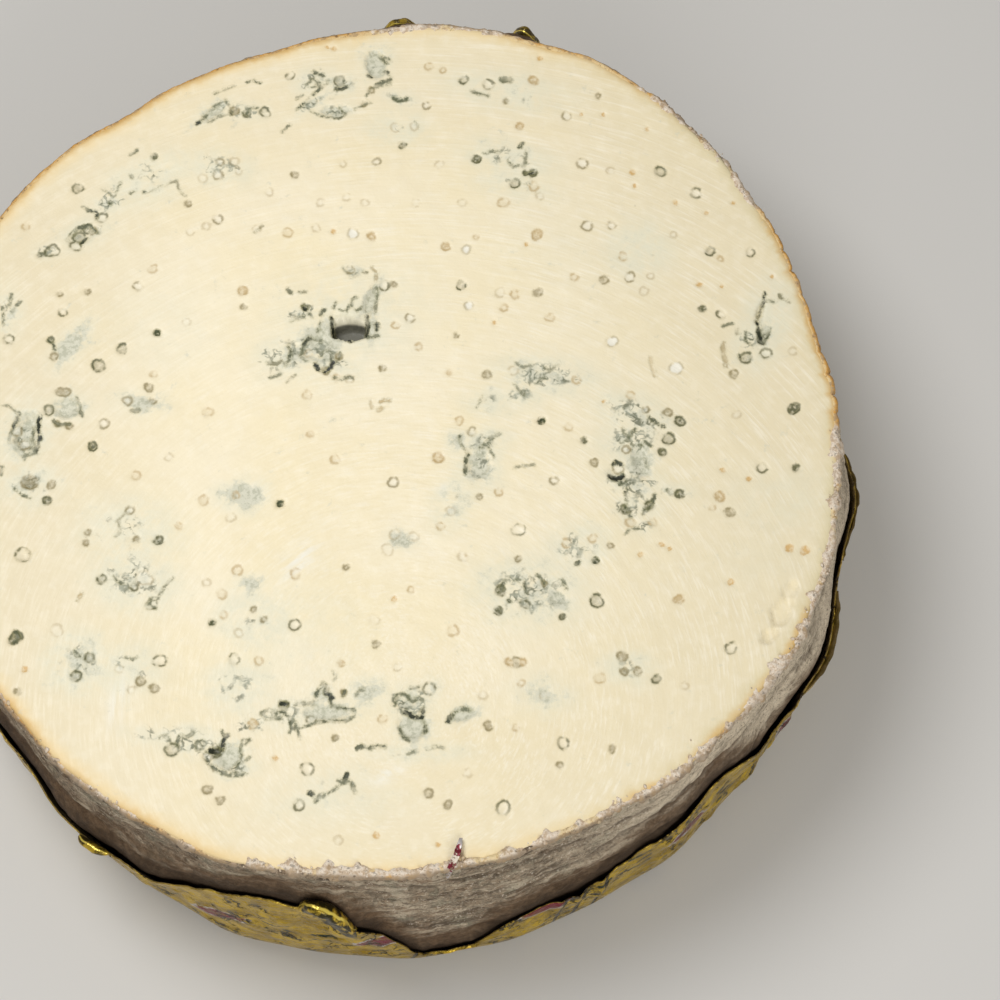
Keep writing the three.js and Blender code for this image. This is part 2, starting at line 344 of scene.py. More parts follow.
def pole_faces(row, columns, pole, outward_first):
    """Triangles from one row of a wrapped grid to a pole, and each corner's (column, row)."""
    column = np.arange(columns)
    here = row * columns + column
    onward = row * columns + (column + 1) % columns
    index = np.stack([here, onward, np.full(columns, pole)], axis=-1)
    far_row = row + (1 if outward_first else -1)
    across = np.stack([column, column + 1, column + 0.5], axis=-1)
    up = np.broadcast_to([row, row, far_row], across.shape)
    corners = np.stack([across, up], axis=-1)
    if not outward_first:
        index, corners = index[:, [1, 0, 2]], corners[:, [1, 0, 2]]
    return index, corners


def strip_uv(corners, columns, row_shares, strips):
    """UV that cuts a long wrapped band into strips laid one above another.

    u runs along a strip, and v is the row's share of the strip's height.
    """
    per_strip = columns // strips
    strip = np.floor(corners[..., 0].min(axis=1) / per_strip).clip(0, strips - 1)[:, None]
    u = (corners[..., 0] - strip * per_strip) / per_strip
    share = np.interp(corners[..., 1], np.arange(len(row_shares)), row_shares)
    v = (strip + STRIP_FOOT + STRIP_HEIGHT * share) / strips
    return np.stack([STRIP_END + (1 - 2 * STRIP_END) * u, v], axis=-1)


def row_length_shares(radius, z):
    """Each row's share of the way along a profile, by length, for a strip's height."""
    step = np.hypot(np.diff(radius.mean(axis=1)), np.diff(z.mean(axis=1)))
    return np.concatenate([[0], np.cumsum(step)]) / step.sum()


def shell_of_rows(name, radius, z, material, strips=3):
    """A closed shell: rows of points round the axis with a pole before and after them.

    The rows run from the bottom's middle outwards, up the side and in again over the top.
    """
    rows, columns = radius.shape
    angle = np.arange(columns) / columns * TURN
    ring = ring_points(angle, radius, z)
    poles = [[0, 0, z[0].mean()], [0, 0, z[-1].mean()]]
    points = np.concatenate([ring.reshape(-1, 3), poles])
    side, side_corners = wrapped_faces(rows, columns)
    low, low_corners = pole_faces(0, columns, rows * columns, False)
    high, high_corners = pole_faces(rows - 1, columns, rows * columns + 1, True)
    faces = np.concatenate([side, low, high])
    corners = np.concatenate([side_corners, low_corners, high_corners])
    corners[..., 1] += 1
    with_poles = np.vstack([0 * angle, radius, 0 * angle])
    shares = row_length_shares(with_poles, np.vstack([z[:1], z, z[-1:]]))
    return make_piece(name, points, faces, strip_uv(corners, columns, shares, strips), material)


def tube_of_rows(name, radius, z, material, strips=4):
    """A closed ring-shaped tube: rows of points round the axis whose last row joins the first."""
    rows, columns = radius.shape
    angle = np.arange(columns) / columns * TURN
    ring = ring_points(angle, radius, z)
    faces, corners = wrapped_faces(rows, columns, closed_rows=True)
    shares = np.linspace(0, 1, rows + 1)
    uv = strip_uv(corners, columns, shares, strips)
    return make_piece(name, ring.reshape(-1, 3), faces, uv, material)


def thin_sheet(name, grid, thickness, material):
    """A closed thin sheet: a grid of points moved half the thickness along its normals each way.

    A normal is the cross product of the grid's two differences.
    """
    rows, columns = grid.shape[:2]
    down, along = np.gradient(grid, axis=(0, 1))
    normal = np.cross(along, down)
    normal /= np.linalg.norm(normal, axis=-1, keepdims=True)
    upper = (grid + normal * thickness / 2).reshape(-1, 3)
    lower = (grid - normal * thickness / 2).reshape(-1, 3)
    index = np.arange(rows * columns).reshape(rows, columns)
    ends = (index[:-1, :-1], index[:-1, 1:], index[1:, 1:], index[1:, :-1])
    cell = np.stack(ends, axis=-1).reshape(-1, 4)
    far = cell + rows * columns
    border = np.concatenate([index[0, :-1], index[:-1, -1], index[-1, :0:-1], index[:0:-1, 0]])
    onward = np.roll(border, -1)
    under = border + rows * columns
    onward_under = onward + rows * columns
    faces = np.concatenate([
        cell[:, [0, 1, 2]], cell[:, [0, 2, 3]],
        far[:, [2, 1, 0]], far[:, [3, 2, 0]],
        np.stack([onward, border, under], axis=-1),
        np.stack([onward, under, onward_under], axis=-1),
    ])
    return make_piece(name, np.concatenate([upper, lower]), faces, None, material)


# ---- marks on the cut face, by pixels of the photograph ----


def face_place(pixels, height=HEIGHT):
    """Place in mm under pixels: the camera's ray carried to a height, the cut face's if not given."""
    pixels = np.asarray(pixels, float)
    across = (pixels[..., 0] - PHOTO_SIZE / 2) / FOCAL_PIXELS
    down = (pixels[..., 1] - PHOTO_SIZE / 2) / FOCAL_PIXELS
    tilt = math.radians(CAMERA_ELEVATION)
    ray_y = math.cos(tilt) - down * math.sin(tilt)
    ray_z = -math.sin(tilt) - down * math.cos(tilt)
    reach = (height - CAMERA_PLACE[2]) / ray_z
    return np.stack([CAMERA_PLACE[0] + reach * across, CAMERA_PLACE[1] + reach * ray_y], axis=-1)


# How a small eye looks: darkness of its ring, darkness inside (below 0 it is pale inside), its
# tint from green-grey 0 to tan 1 and amber 1.6, and the depth in mm of its dimple.
EYE_LOOKS = {
    "bold": (0.9, 0.35, 0.15, 0.6),
    "open": (0.8, -0.15, 0.2, 0.5),
    "thin": (0.6, -0.3, 0.4, 0.3),
    "full": (0.9, 0.95, 0.15, 0.6),
    "olive": (0.6, 0.6, 0.4, 0.4),
    "faint": (0.26, -0.15, 0.6, 0.1),
    "tan": (0.45, 0.15, 0.85, 0.2),
    "brown": (0.5, 0.65, 0.85, 0.4),
    "white": (0.3, -0.9, 0.35, 0.3),
    "disc": (0.1, 0.5, 1.0, 0.2),
    "black": (1.3, 1.3, 0.0, 1.6),
    "amber": (0.1, 0.7, 1.6, 0.4),
}
EGG = 0.12  # most that an eye's outline is drawn out along one line
KNUCKLE = 0.07  # most that its outline has three bulges
RING_GAP = 0.8  # most that its ring fades at its open side

EYES = {  # look: (x, y, radius) in pixels
    "bold": (
        (463, 78, 4.5), (78, 187, 5.5), (102, 578, 4.5), (76, 677, 5), (98, 365, 6.5), (341, 81, 6),
        (661, 171, 5.5), (709, 252, 4.5), (597, 600, 6.5), (526, 605, 4.5), (656, 680, 4.2),
        (172, 751, 6.5), (284, 706, 4.5), (514, 184, 5), (461, 285, 4.5), (747, 356, 6),
        (89, 659, 4.5), (49, 410, 5), (122, 347, 5), (78, 236, 6), (87, 228, 4.5), (49, 252.5, 5),
        (668.7, 438.4, 6), (264.6, 112, 4.5),
    ),
    "open": (
        (488, 85, 5.5), (697, 193, 5.5), (750, 252, 4.5), (762, 468, 5), (294, 624, 5.5),
        (160, 662, 6), (308, 770, 6), (563, 741, 5.5), (504, 807, 6.5), (24, 555, 7),
        (291, 76, 4.2), (151, 605, 5), (234, 658, 5), (300, 805, 5), (730, 647, 5.5), (430, 687, 6),
        (517, 530, 6), (133, 588, 4), (722, 314, 4), (311, 719, 4.5), (265, 113, 4),
        (766, 354, 5.5), (385, 287, 5), (54.2, 249, 5.5), (101, 216.5, 5), (76, 245, 5.5),
        (61.4, 312, 4), (10, 339, 5),
    ),
    "thin": (
        (566, 115.5, 4.5), (582.6, 163.5, 5.5), (586, 227, 5.5), (427, 104.6, 4), (217, 219, 4.8),
        (138, 287, 4.5), (104, 424, 5), (630, 277, 5), (645, 409.7, 3.5), (555, 480, 4),
        (130, 511, 4), (377, 162, 4), (350, 270, 4), (410, 319, 4.5), (221, 163, 4), (218, 175, 5),
        (612, 225, 4), (473, 431.7, 4.2), (394, 481, 5), (17.6, 430, 5), (23, 443, 5),
        (126, 401, 4.5), (625.7, 450, 4), (618, 467, 5.5),
    ),
    "full": (
        (46, 501, 4), (16, 637, 5), (525, 173, 3), (532, 174, 4.5), (403, 145, 3.5),
        (476, 158, 4.5), (217, 751, 5.5), (681, 422, 5), (625, 509, 5), (650, 506, 4.5),
        (500, 590, 5), (499, 609, 4), (562, 616, 3), (679, 494, 4.5), (305, 308, 3.5),
        (661, 451, 4), (94, 446, 4.5), (154, 158, 3), (795, 407, 6), (796, 467, 3.5), (158, 541, 4.5),
        (703, 309, 3.5), (584, 441, 3), (13, 641, 4), (41, 255, 2.5), (51, 340, 3), (247, 113, 3),
    ),
    "olive": (
        (599, 95, 3), (506, 101, 3), (605, 279, 4.5), (537, 293, 4.5), (155, 687, 4.5),
        (141, 680, 4.5), (447, 804, 4), (489, 726, 4.5), (486, 376, 4.5), (734, 374, 4.5),
        (519, 559, 3.2), (545, 583, 3), (637, 672, 4), (623, 657, 5), (624, 671, 4),
        (613, 748, 3.5), (561, 765, 3), (428, 794, 4.5), (209, 789, 4.5), (220, 801, 4),
        (344, 694, 3.5), (377, 644, 4), (149, 387, 4.5), (53, 355, 4), (296, 175, 4),
        (372, 89, 3.5), (51, 485, 4.5), (346, 566, 2.8), (339, 356, 3.5), (254, 608, 3),
        (263, 620, 3), (594, 463, 4), (478, 496, 3), (326, 370, 4), (137, 538, 3), (87, 533, 3),
        (87, 543, 3), (611, 545, 2.8), (456, 336, 2.8), (393, 284, 3), (383, 368, 3.5),
        (18, 690, 3), (336, 737, 3), (364, 104, 3), (188, 202, 3.5), (92.5, 231, 4),
        (30.6, 481.4, 8), (59, 391, 4.5), (66, 391, 4.5), (56, 422, 3), (70, 425.5, 3.5),
        (152.4, 399.5, 3.5), (243, 307, 3), (86.9, 291.3, 3), (666.8, 412.6, 4.5), (729, 511, 5),
        (516, 661, 5.5), (61, 294, 2.6), (235, 111, 5),
    ),
    "faint": (
        (610, 172, 4), (462, 203, 4), (415, 204, 4), (439, 166, 4.5), (612, 226, 4),
        (672, 235, 3.5), (501, 292, 5), (644, 291, 4.5), (652, 276, 3.5), (513, 370, 5),
        (463, 556, 4.5), (451, 511, 4.5), (375, 620, 5), (338, 839, 4), (388, 549, 5.5),
        (414, 536, 4.5), (394, 535, 5), (206, 225, 4), (186, 323, 4), (320, 202, 4), (270, 192, 4),
        (344, 164, 3.5), (347, 198, 4), (365, 204, 4), (316, 228, 4), (190, 232, 3.5),
        (257, 230, 4), (207, 582, 4), (143, 578, 7), (148, 579, 5), (230, 518, 4.5), (168, 457, 4),
        (483, 694, 4), (544, 694, 4), (468, 772, 4), (685, 685, 3.5), (735, 415, 4),
        (792, 351, 4.5), (540, 196, 4), (415, 126, 4.5), (238, 633, 4), (133, 690, 3.5),
        (120, 668, 4), (57, 632, 6), (397, 668, 4.5), (396, 128, 5), (202, 178, 4.5),
        (234, 163, 4.5), (238, 171, 4), (309, 354, 4), (350, 378, 4),
    ),
    "tan": (
        (533, 187, 5), (503, 204, 5.5), (623, 256, 4.5), (575, 277, 4), (550, 319, 4.5),
        (499, 493, 4), (460, 420, 4), (570, 428, 3.8), (577, 381, 4), (453, 631, 5.5),
        (296, 574, 5), (238, 570, 5), (221, 595, 4.8), (599, 677, 5), (411, 590, 3), (202, 500, 5),
        (137, 475, 4.5), (477, 237, 2.5), (515, 294, 4.5), (503, 309, 4), (629, 396, 4.2),
        (712, 508, 3), (260, 660, 4), (224, 614, 3.5), (208, 412, 5), (26, 226, 4), (154, 268, 4.5),
        (289, 233, 5), (306, 395, 4.5), (396, 327, 3.5), (419, 347, 3.5), (721, 259, 3),
        (629, 523, 4.5), (654, 523, 4), (567, 544, 4.5), (592, 538, 4), (522, 683, 3.5),
        (382, 718, 4), (429, 66, 4), (444, 69, 3), (336, 460, 4.5), (517, 728, 3), (463, 557, 4),
        (337, 378, 3.5), (236, 496, 3.5), (155, 374, 3.5), (439, 526, 3.5),
    ),
    "white": (
        (354, 235, 5.5), (676, 368, 6.5), (611, 341, 5.5), (467, 249, 4.5), (469, 305, 4.5),
        (207, 757, 4),
    ),
    "disc": (
        (309, 435, 4), (448, 374, 3.5), (179, 526, 4),
    ),
    "brown": (
        (533, 81, 5), (537, 236, 5.5), (446, 247, 4.5), (438, 459, 5.5), (679, 599, 4.8),
        (720, 497, 5), (243, 289, 5), (372, 237, 4), (342, 664, 3.2), (519, 126, 3.8),
        (510, 662, 4), (522, 663, 4), (252, 724, 5), (24, 554, 2),
    ),
    "black": (
        (541, 420, 3), (595, 560, 2.8), (280, 502, 3), (213, 623, 2.5), (156, 331, 2.8),
        (31, 485, 3),
    ),
    "amber": (
        (540, 58, 2.6), (603, 115, 2.3), (647, 130, 2), (633, 173, 3), (636, 186, 2),
        (675, 204, 2.6), (699, 285, 2.6), (723, 285, 2), (334, 231, 2.6), (642, 555, 2.6),
        (660, 544, 2.6), (671, 549, 2), (26, 669, 3.2), (376, 834, 3.2), (395, 600, 2.6),
        (410, 590, 1.8), (335, 48, 2.6), (327, 48, 2), (275, 759, 2.6), (605, 402, 2),
        (722, 470, 2.6), (788, 548, 4.5), (806, 550, 4.5), (729, 581, 3.2), (580, 114, 2),
        (706, 212, 2), (733, 202, 2), (527, 244, 2.3), (702, 284, 1.8), (438, 845, 2.3),
        (494, 322, 2), (771, 275, 2), (749, 479, 2.6),
    ),
}

# Dark strokes and blots, by darkness, and green-grey 0 to tan 1. For each: its half width, then
# x and y of each point along its middle line, all in pixels.
STROKES = {
    (1.1, 0): (
        (1.8, 758, 331, 760, 341, 764, 343), (1.7, 336, 88, 341, 89, 346, 87),
        (1.7, 385, 70, 388, 73), (1.7, 368, 75, 371, 77), (1.8, 231, 111, 231, 114),
        (2, 422, 717, 424, 709), (2.6, 450, 717, 448, 721), (2.4, 347, 775, 345, 779),
        (1.6, 626, 492, 627, 500), (1.5, 81, 242, 86, 237), (1.7, 89, 210, 97, 212, 95.5, 218),
        (1.6, 19, 413, 15, 421, 13, 427), (1.5, 39.8, 438, 38, 446, 34.5, 453),
    ),
    (0.8, 0.1): (
        (1.2, 746, 331, 746, 342, 752, 344), (1, 481, 93, 489, 96),
        (1.3, 508, 160, 513, 167, 519, 165), (1.4, 408, 754, 414, 751),
        (1.4, 366, 338, 372, 337, 378, 336), (1.1, 333, 308, 336, 303),
        (1.1, 33, 425, 32, 436, 30, 446, 34.5, 453),
    ),
    (0.8, 0.2): (
        (0.9, 766, 300, 775, 302), (1.4, 723, 326, 732, 323), (1.2, 484, 153, 492, 151, 500, 152),
        (1, 306, 84, 313, 79, 321, 83, 312, 87), (1, 366, 96, 370, 89, 377, 86, 385, 86, 391, 85),
        (1.1, 311, 111, 322, 116, 339, 118, 346, 114, 340, 107),
        (0.9, 199, 122, 207, 114, 215, 106, 222, 103), (1.2, 75, 650, 76, 656, 80, 657),
        (1.3, 196, 742, 203, 741, 204, 748, 198, 751, 196, 742),
        (1.2, 412, 701, 419, 697, 424, 701), (1, 339, 786, 327, 794, 318, 799),
        (1.2, 667, 490, 672, 495, 676, 493), (1.2, 537, 574, 541, 578, 545, 583),
        (1.2, 282, 132, 290, 124), (1.2, 308, 313, 313, 318), (1.3, 23, 455, 24, 459),
        (1.3, 76.5, 396.5, 79.5, 404, 79.5, 410, 82.7, 416), (1.2, 11, 293, 10, 301, 9, 305),
        (1.2, 2, 306, 3, 316, 3, 324), (1, 764, 330, 765, 335),
        (1.2, 625.7, 534, 630, 530, 637, 527),
    ),
    (0.5, 0.5): (
        (1, 785, 299, 790, 302), (1, 160, 594, 164, 587, 170, 580),
        (1.1, 117, 521, 123, 516, 128, 509),
    ),
    (0.7, 0.5): ((1.6, 737, 330, 737, 333),),
    (0.6, 0.7): ((2.3, 723, 344, 724, 354, 726, 366), (1.5, 372, 268, 377, 273, 375, 281),),
    (0.4, 1): ((1.6, 650, 358, 652, 368, 655, 376),),
    (0.9, 0.3): (
        (1.6, 471, 90, 479, 93, 488, 95), (1.4, 231, 774, 239, 773, 246, 774),
        (1.5, 244, 744, 250, 740), (1.8, 131, 410, 138.5, 410), (2.2, 288, 290, 291, 293),
    ),
    (0.9, 0.1): (
        (3.3, 502, 79, 510, 80), (1.3, 380, 55, 384, 60, 388, 63),
        (1.8, 394, 98, 400, 101, 407, 98), (1.2, 240, 112, 247, 114, 247, 108, 257, 108),
        (1.4, 452, 714, 460, 708, 470, 709), (1.2, 622, 428, 629, 438, 636, 428),
        (1.2, 640, 448, 645, 441, 651, 446), (1.1, 321, 322, 319, 329, 317, 333),
        (1.4, 314, 338, 321, 339), (1.2, 320, 356, 324, 351, 329, 351),
        (1.3, 352, 307, 353, 300, 356, 297), (1.2, 340, 310, 347, 312, 349, 306),
        (1.4, 357, 311, 361, 308), (1.4, 207, 752, 214, 752, 220, 749),
        (1.2, 13, 427, 10, 435, 9, 442),
    ),
    (1, 0): ((2, 520, 147, 522, 144), (1.3, 625, 506, 630, 517),),
    (0.7, 0.3): (
        (1.6, 526, 152, 525, 165), (1, 355, 109, 364, 104, 371, 103),
        (1.2, 333, 671, 336, 677, 334, 680), (1.2, 157, 600, 161, 593, 167, 583, 173, 578),
        (1, 82, 206, 88, 210), (1, 102, 188, 108, 192, 114, 196), (1, 0, 404, 8, 405, 16, 411),
    ),
    (1.2, 0): (
        (1.6, 528, 173, 537, 173), (2, 197, 124, 199, 123), (2, 222, 747, 225, 738, 228, 735),
        (2.2, 281, 703, 287, 704), (2.2, 325, 692, 332, 698), (2, 405, 712, 413, 716, 422, 717),
        (2, 40.5, 415, 38.5, 421, 37.5, 427, 39.8, 438),
        (1.4, 765, 293, 764, 300, 761, 308, 758, 315), (2.2, 759, 329, 761, 336, 762, 341),
        (2.4, 304, 307, 305, 309),
    ),
    (0.4, 0.3): ((1, 415, 121, 419, 128),),
    (1, 0.1): (
        (1.1, 297, 109, 303, 103, 310, 97), (1.4, 313, 94, 321, 88, 328, 81),
        (1.8, 314, 72, 323, 75), (1.7, 377, 84, 383, 82, 391, 78), (1.2, 225, 100, 229, 106),
        (1.6, 48, 340, 54, 343, 55, 349), (1.6, 2, 466, 1, 474), (1.3, 222, 731, 225, 736),
        (1.3, 206, 758, 210, 766, 219, 770, 228, 775),
        (1.5, 281, 712, 289, 716, 292, 727, 290, 733), (1.7, 296, 704, 305, 704, 314, 703),
        (1.4, 314, 703, 317, 692, 323, 683, 328, 688, 332, 698),
        (1.3, 330, 698, 332, 706, 343, 708, 354, 710), (1.6, 343, 695, 345, 691),
        (1.5, 425, 724, 425, 732), (2.2, 357, 748, 363, 746), (1.7, 370, 748, 377, 746, 385, 747),
        (1.7, 320, 794, 316, 801), (1.4, 460, 437, 461, 443, 464, 448),
        (1.5, 469, 455, 466, 459, 466, 466, 465, 474), (1.6, 649, 417, 656, 423, 664, 427),
        (1.3, 622, 473, 625, 481, 620, 485), (1.5, 655, 495, 652, 503, 643, 514),
        (1.6, 500, 592, 503, 584), (1.4, 525, 582, 526, 592), (1.5, 508, 600, 511, 602),
        (2, 579, 562, 577, 564), (1.5, 331, 361, 332, 355), (1.5, 340, 354, 338, 359),
        (2.4, 15, 632, 18, 638, 15, 643), (1.2, 67, 240, 72, 233, 77, 228, 89, 224, 97, 232),
        (1.2, 626.5, 490, 626.5, 497),
    ),
    (0.7, 0.2): (
        (1, 370, 52, 380, 55, 389, 58), (1, 126, 657, 133, 660, 137, 657),
        (1, 243, 740, 240, 750, 242, 757), (1, 504, 581, 511, 578, 519, 581),
        (1, 302, 350, 301, 356, 306, 361), (1.2, 343, 269, 348, 273, 352, 270),
        (1.3, 376, 287, 377, 296, 376, 305, 375, 313), (1.2, 121, 182, 117, 189, 114, 196),
        (1.1, 25, 452, 29, 455, 34, 453),
    ),
    (0.9, 0.2): (
        (1.4, 302, 95, 297, 98), (1.3, 248, 82, 254, 81, 260, 83), (1.3, 130, 155, 137, 150),
        (1.2, 14, 488, 21, 494, 30, 498), (1.3, 115, 576, 118, 581, 124, 584),
        (1.4, 176, 745, 180, 736, 188, 737, 193, 733), (1.4, 236, 764, 244, 762, 249, 758),
        (1.4, 261, 714, 268, 709, 276, 712, 279, 718, 266, 719, 261, 714),
        (1.2, 289, 716, 295, 722, 300, 739),
        (1.3, 354, 710, 355, 716, 345, 721, 331, 720, 317, 723, 303, 727),
        (1.4, 395, 705, 398, 695, 404, 693, 409, 697), (1.5, 399, 728, 403, 736, 409, 741),
        (1.5, 338, 781, 344, 783, 351, 782, 355, 792), (1.8, 489, 440, 494, 437, 499, 434),
        (1.2, 480, 448, 484, 444, 490, 449, 494, 457), (1.2, 563, 580, 566, 588),
        (1.2, 291, 321, 299, 318, 305, 317), (1.2, 290, 360, 286, 366),
        (1.5, 152, 598, 149, 604, 155, 608), (1.4, 222, 774, 233, 776, 243, 775),
        (1.3, 110, 202, 110.5, 204), (1.8, 131, 175, 132, 177), (1.6, 144, 192, 147, 192),
        (1.4, 20, 301, 15, 306, 12, 311), (1.3, 770, 328, 769, 334, 765, 340),
    ),
    (0.6, 0.2): ((1.1, 209, 122, 219, 117, 228, 114), (1, 483, 397, 480, 402, 477, 408),),
    (0.8, 0.3): (
        (1, 214, 94, 226, 89, 236, 86), (1.3, 53, 420, 58, 424, 69, 423),
        (1.3, 160, 738, 166, 736, 170, 741), (1.3, 410, 688, 419, 687),
        (1.3, 270, 378, 276, 376, 281, 373), (1.3, 335, 378, 342, 380, 349, 377, 354, 379),
        (1.2, 130, 193, 135, 191),
    ),
    (0.6, 0.4): (
        (1.1, 119, 523, 120, 533, 115, 536),
        (0.9, 147, 192, 157, 188, 167, 184, 177, 180, 179, 189, 185, 196),
    ),
    (0.7, 0.1): (
        (1.2, 356, 696, 359, 690, 364, 689), (1.2, 427, 749, 436, 746, 444, 748),
        (1, 621, 443, 628, 440, 634, 446), (1, 645, 458, 647, 466),
    ),
    (1.1, 0.1): (
        (2.2, 309, 792, 313, 795), (1.6, 613, 466, 616, 461, 622, 465),
        (1.6, 303, 345, 307, 341, 310, 338),
    ),
    (0.6, 0.5): ((0.9, 213, 771, 226, 772), (1, 255, 232, 262, 226),),
    (0.6, 0.3): ((1, 515, 468, 524, 466, 534, 465),),
    (0.6, 0.1): ((1.2, 516, 363, 523, 368, 531, 366), (1.2, 514, 384, 518, 390, 524, 396),),
    (0.5, 0.2): ((1.1, 536, 384, 541, 381, 545, 378),),
    (0.5, 0.1): ((1.1, 545, 366, 549, 373, 557, 365),),
    (1.3, 0): (
        (2.8, 610, 476, 616, 479, 622, 477), (2.4, 316, 366, 318, 369),
        (2, 325, 372, 330, 369, 333, 364), (1.6, 332, 318, 332, 326, 335, 334),
        (2.2, 367, 316, 368, 325, 366, 333, 361, 337), (1.6, 345, 339, 351, 342, 357, 339),
        (2.8, 211, 751, 218, 750), (1.8, 757, 321, 759, 325), (2, 740, 355, 740.5, 357),
    ),
    (0.8, 0.4): (
        (1.3, 299, 292, 306, 292), (1.4, 268, 363, 275, 364, 283, 361), (1.8, 780, 295, 781, 298),
    ),
    (1, 0.2): ((2, 321, 315, 324, 310), (1.3, 289, 345, 291, 352, 289, 358),),
    (0.7, 0.4): ((1.2, 287, 382, 291, 378, 296, 375),),
    (0.9, 0.4): ((1.6, 364, 272, 367, 273),),
    (1.1, 0.2): ((2, 377, 325, 377, 330),),
    (0.7, 0.9): ((1.7, 380, 402, 386, 400, 390, 401),),
    (0.4, 0.9): ((1.6, 371, 401, 372, 408),),
    (0.5, 0.9): ((1.8, 378, 411, 383, 408),),
    (0.6, 1.2): ((1.4, 78, 600, 82, 593),),
}

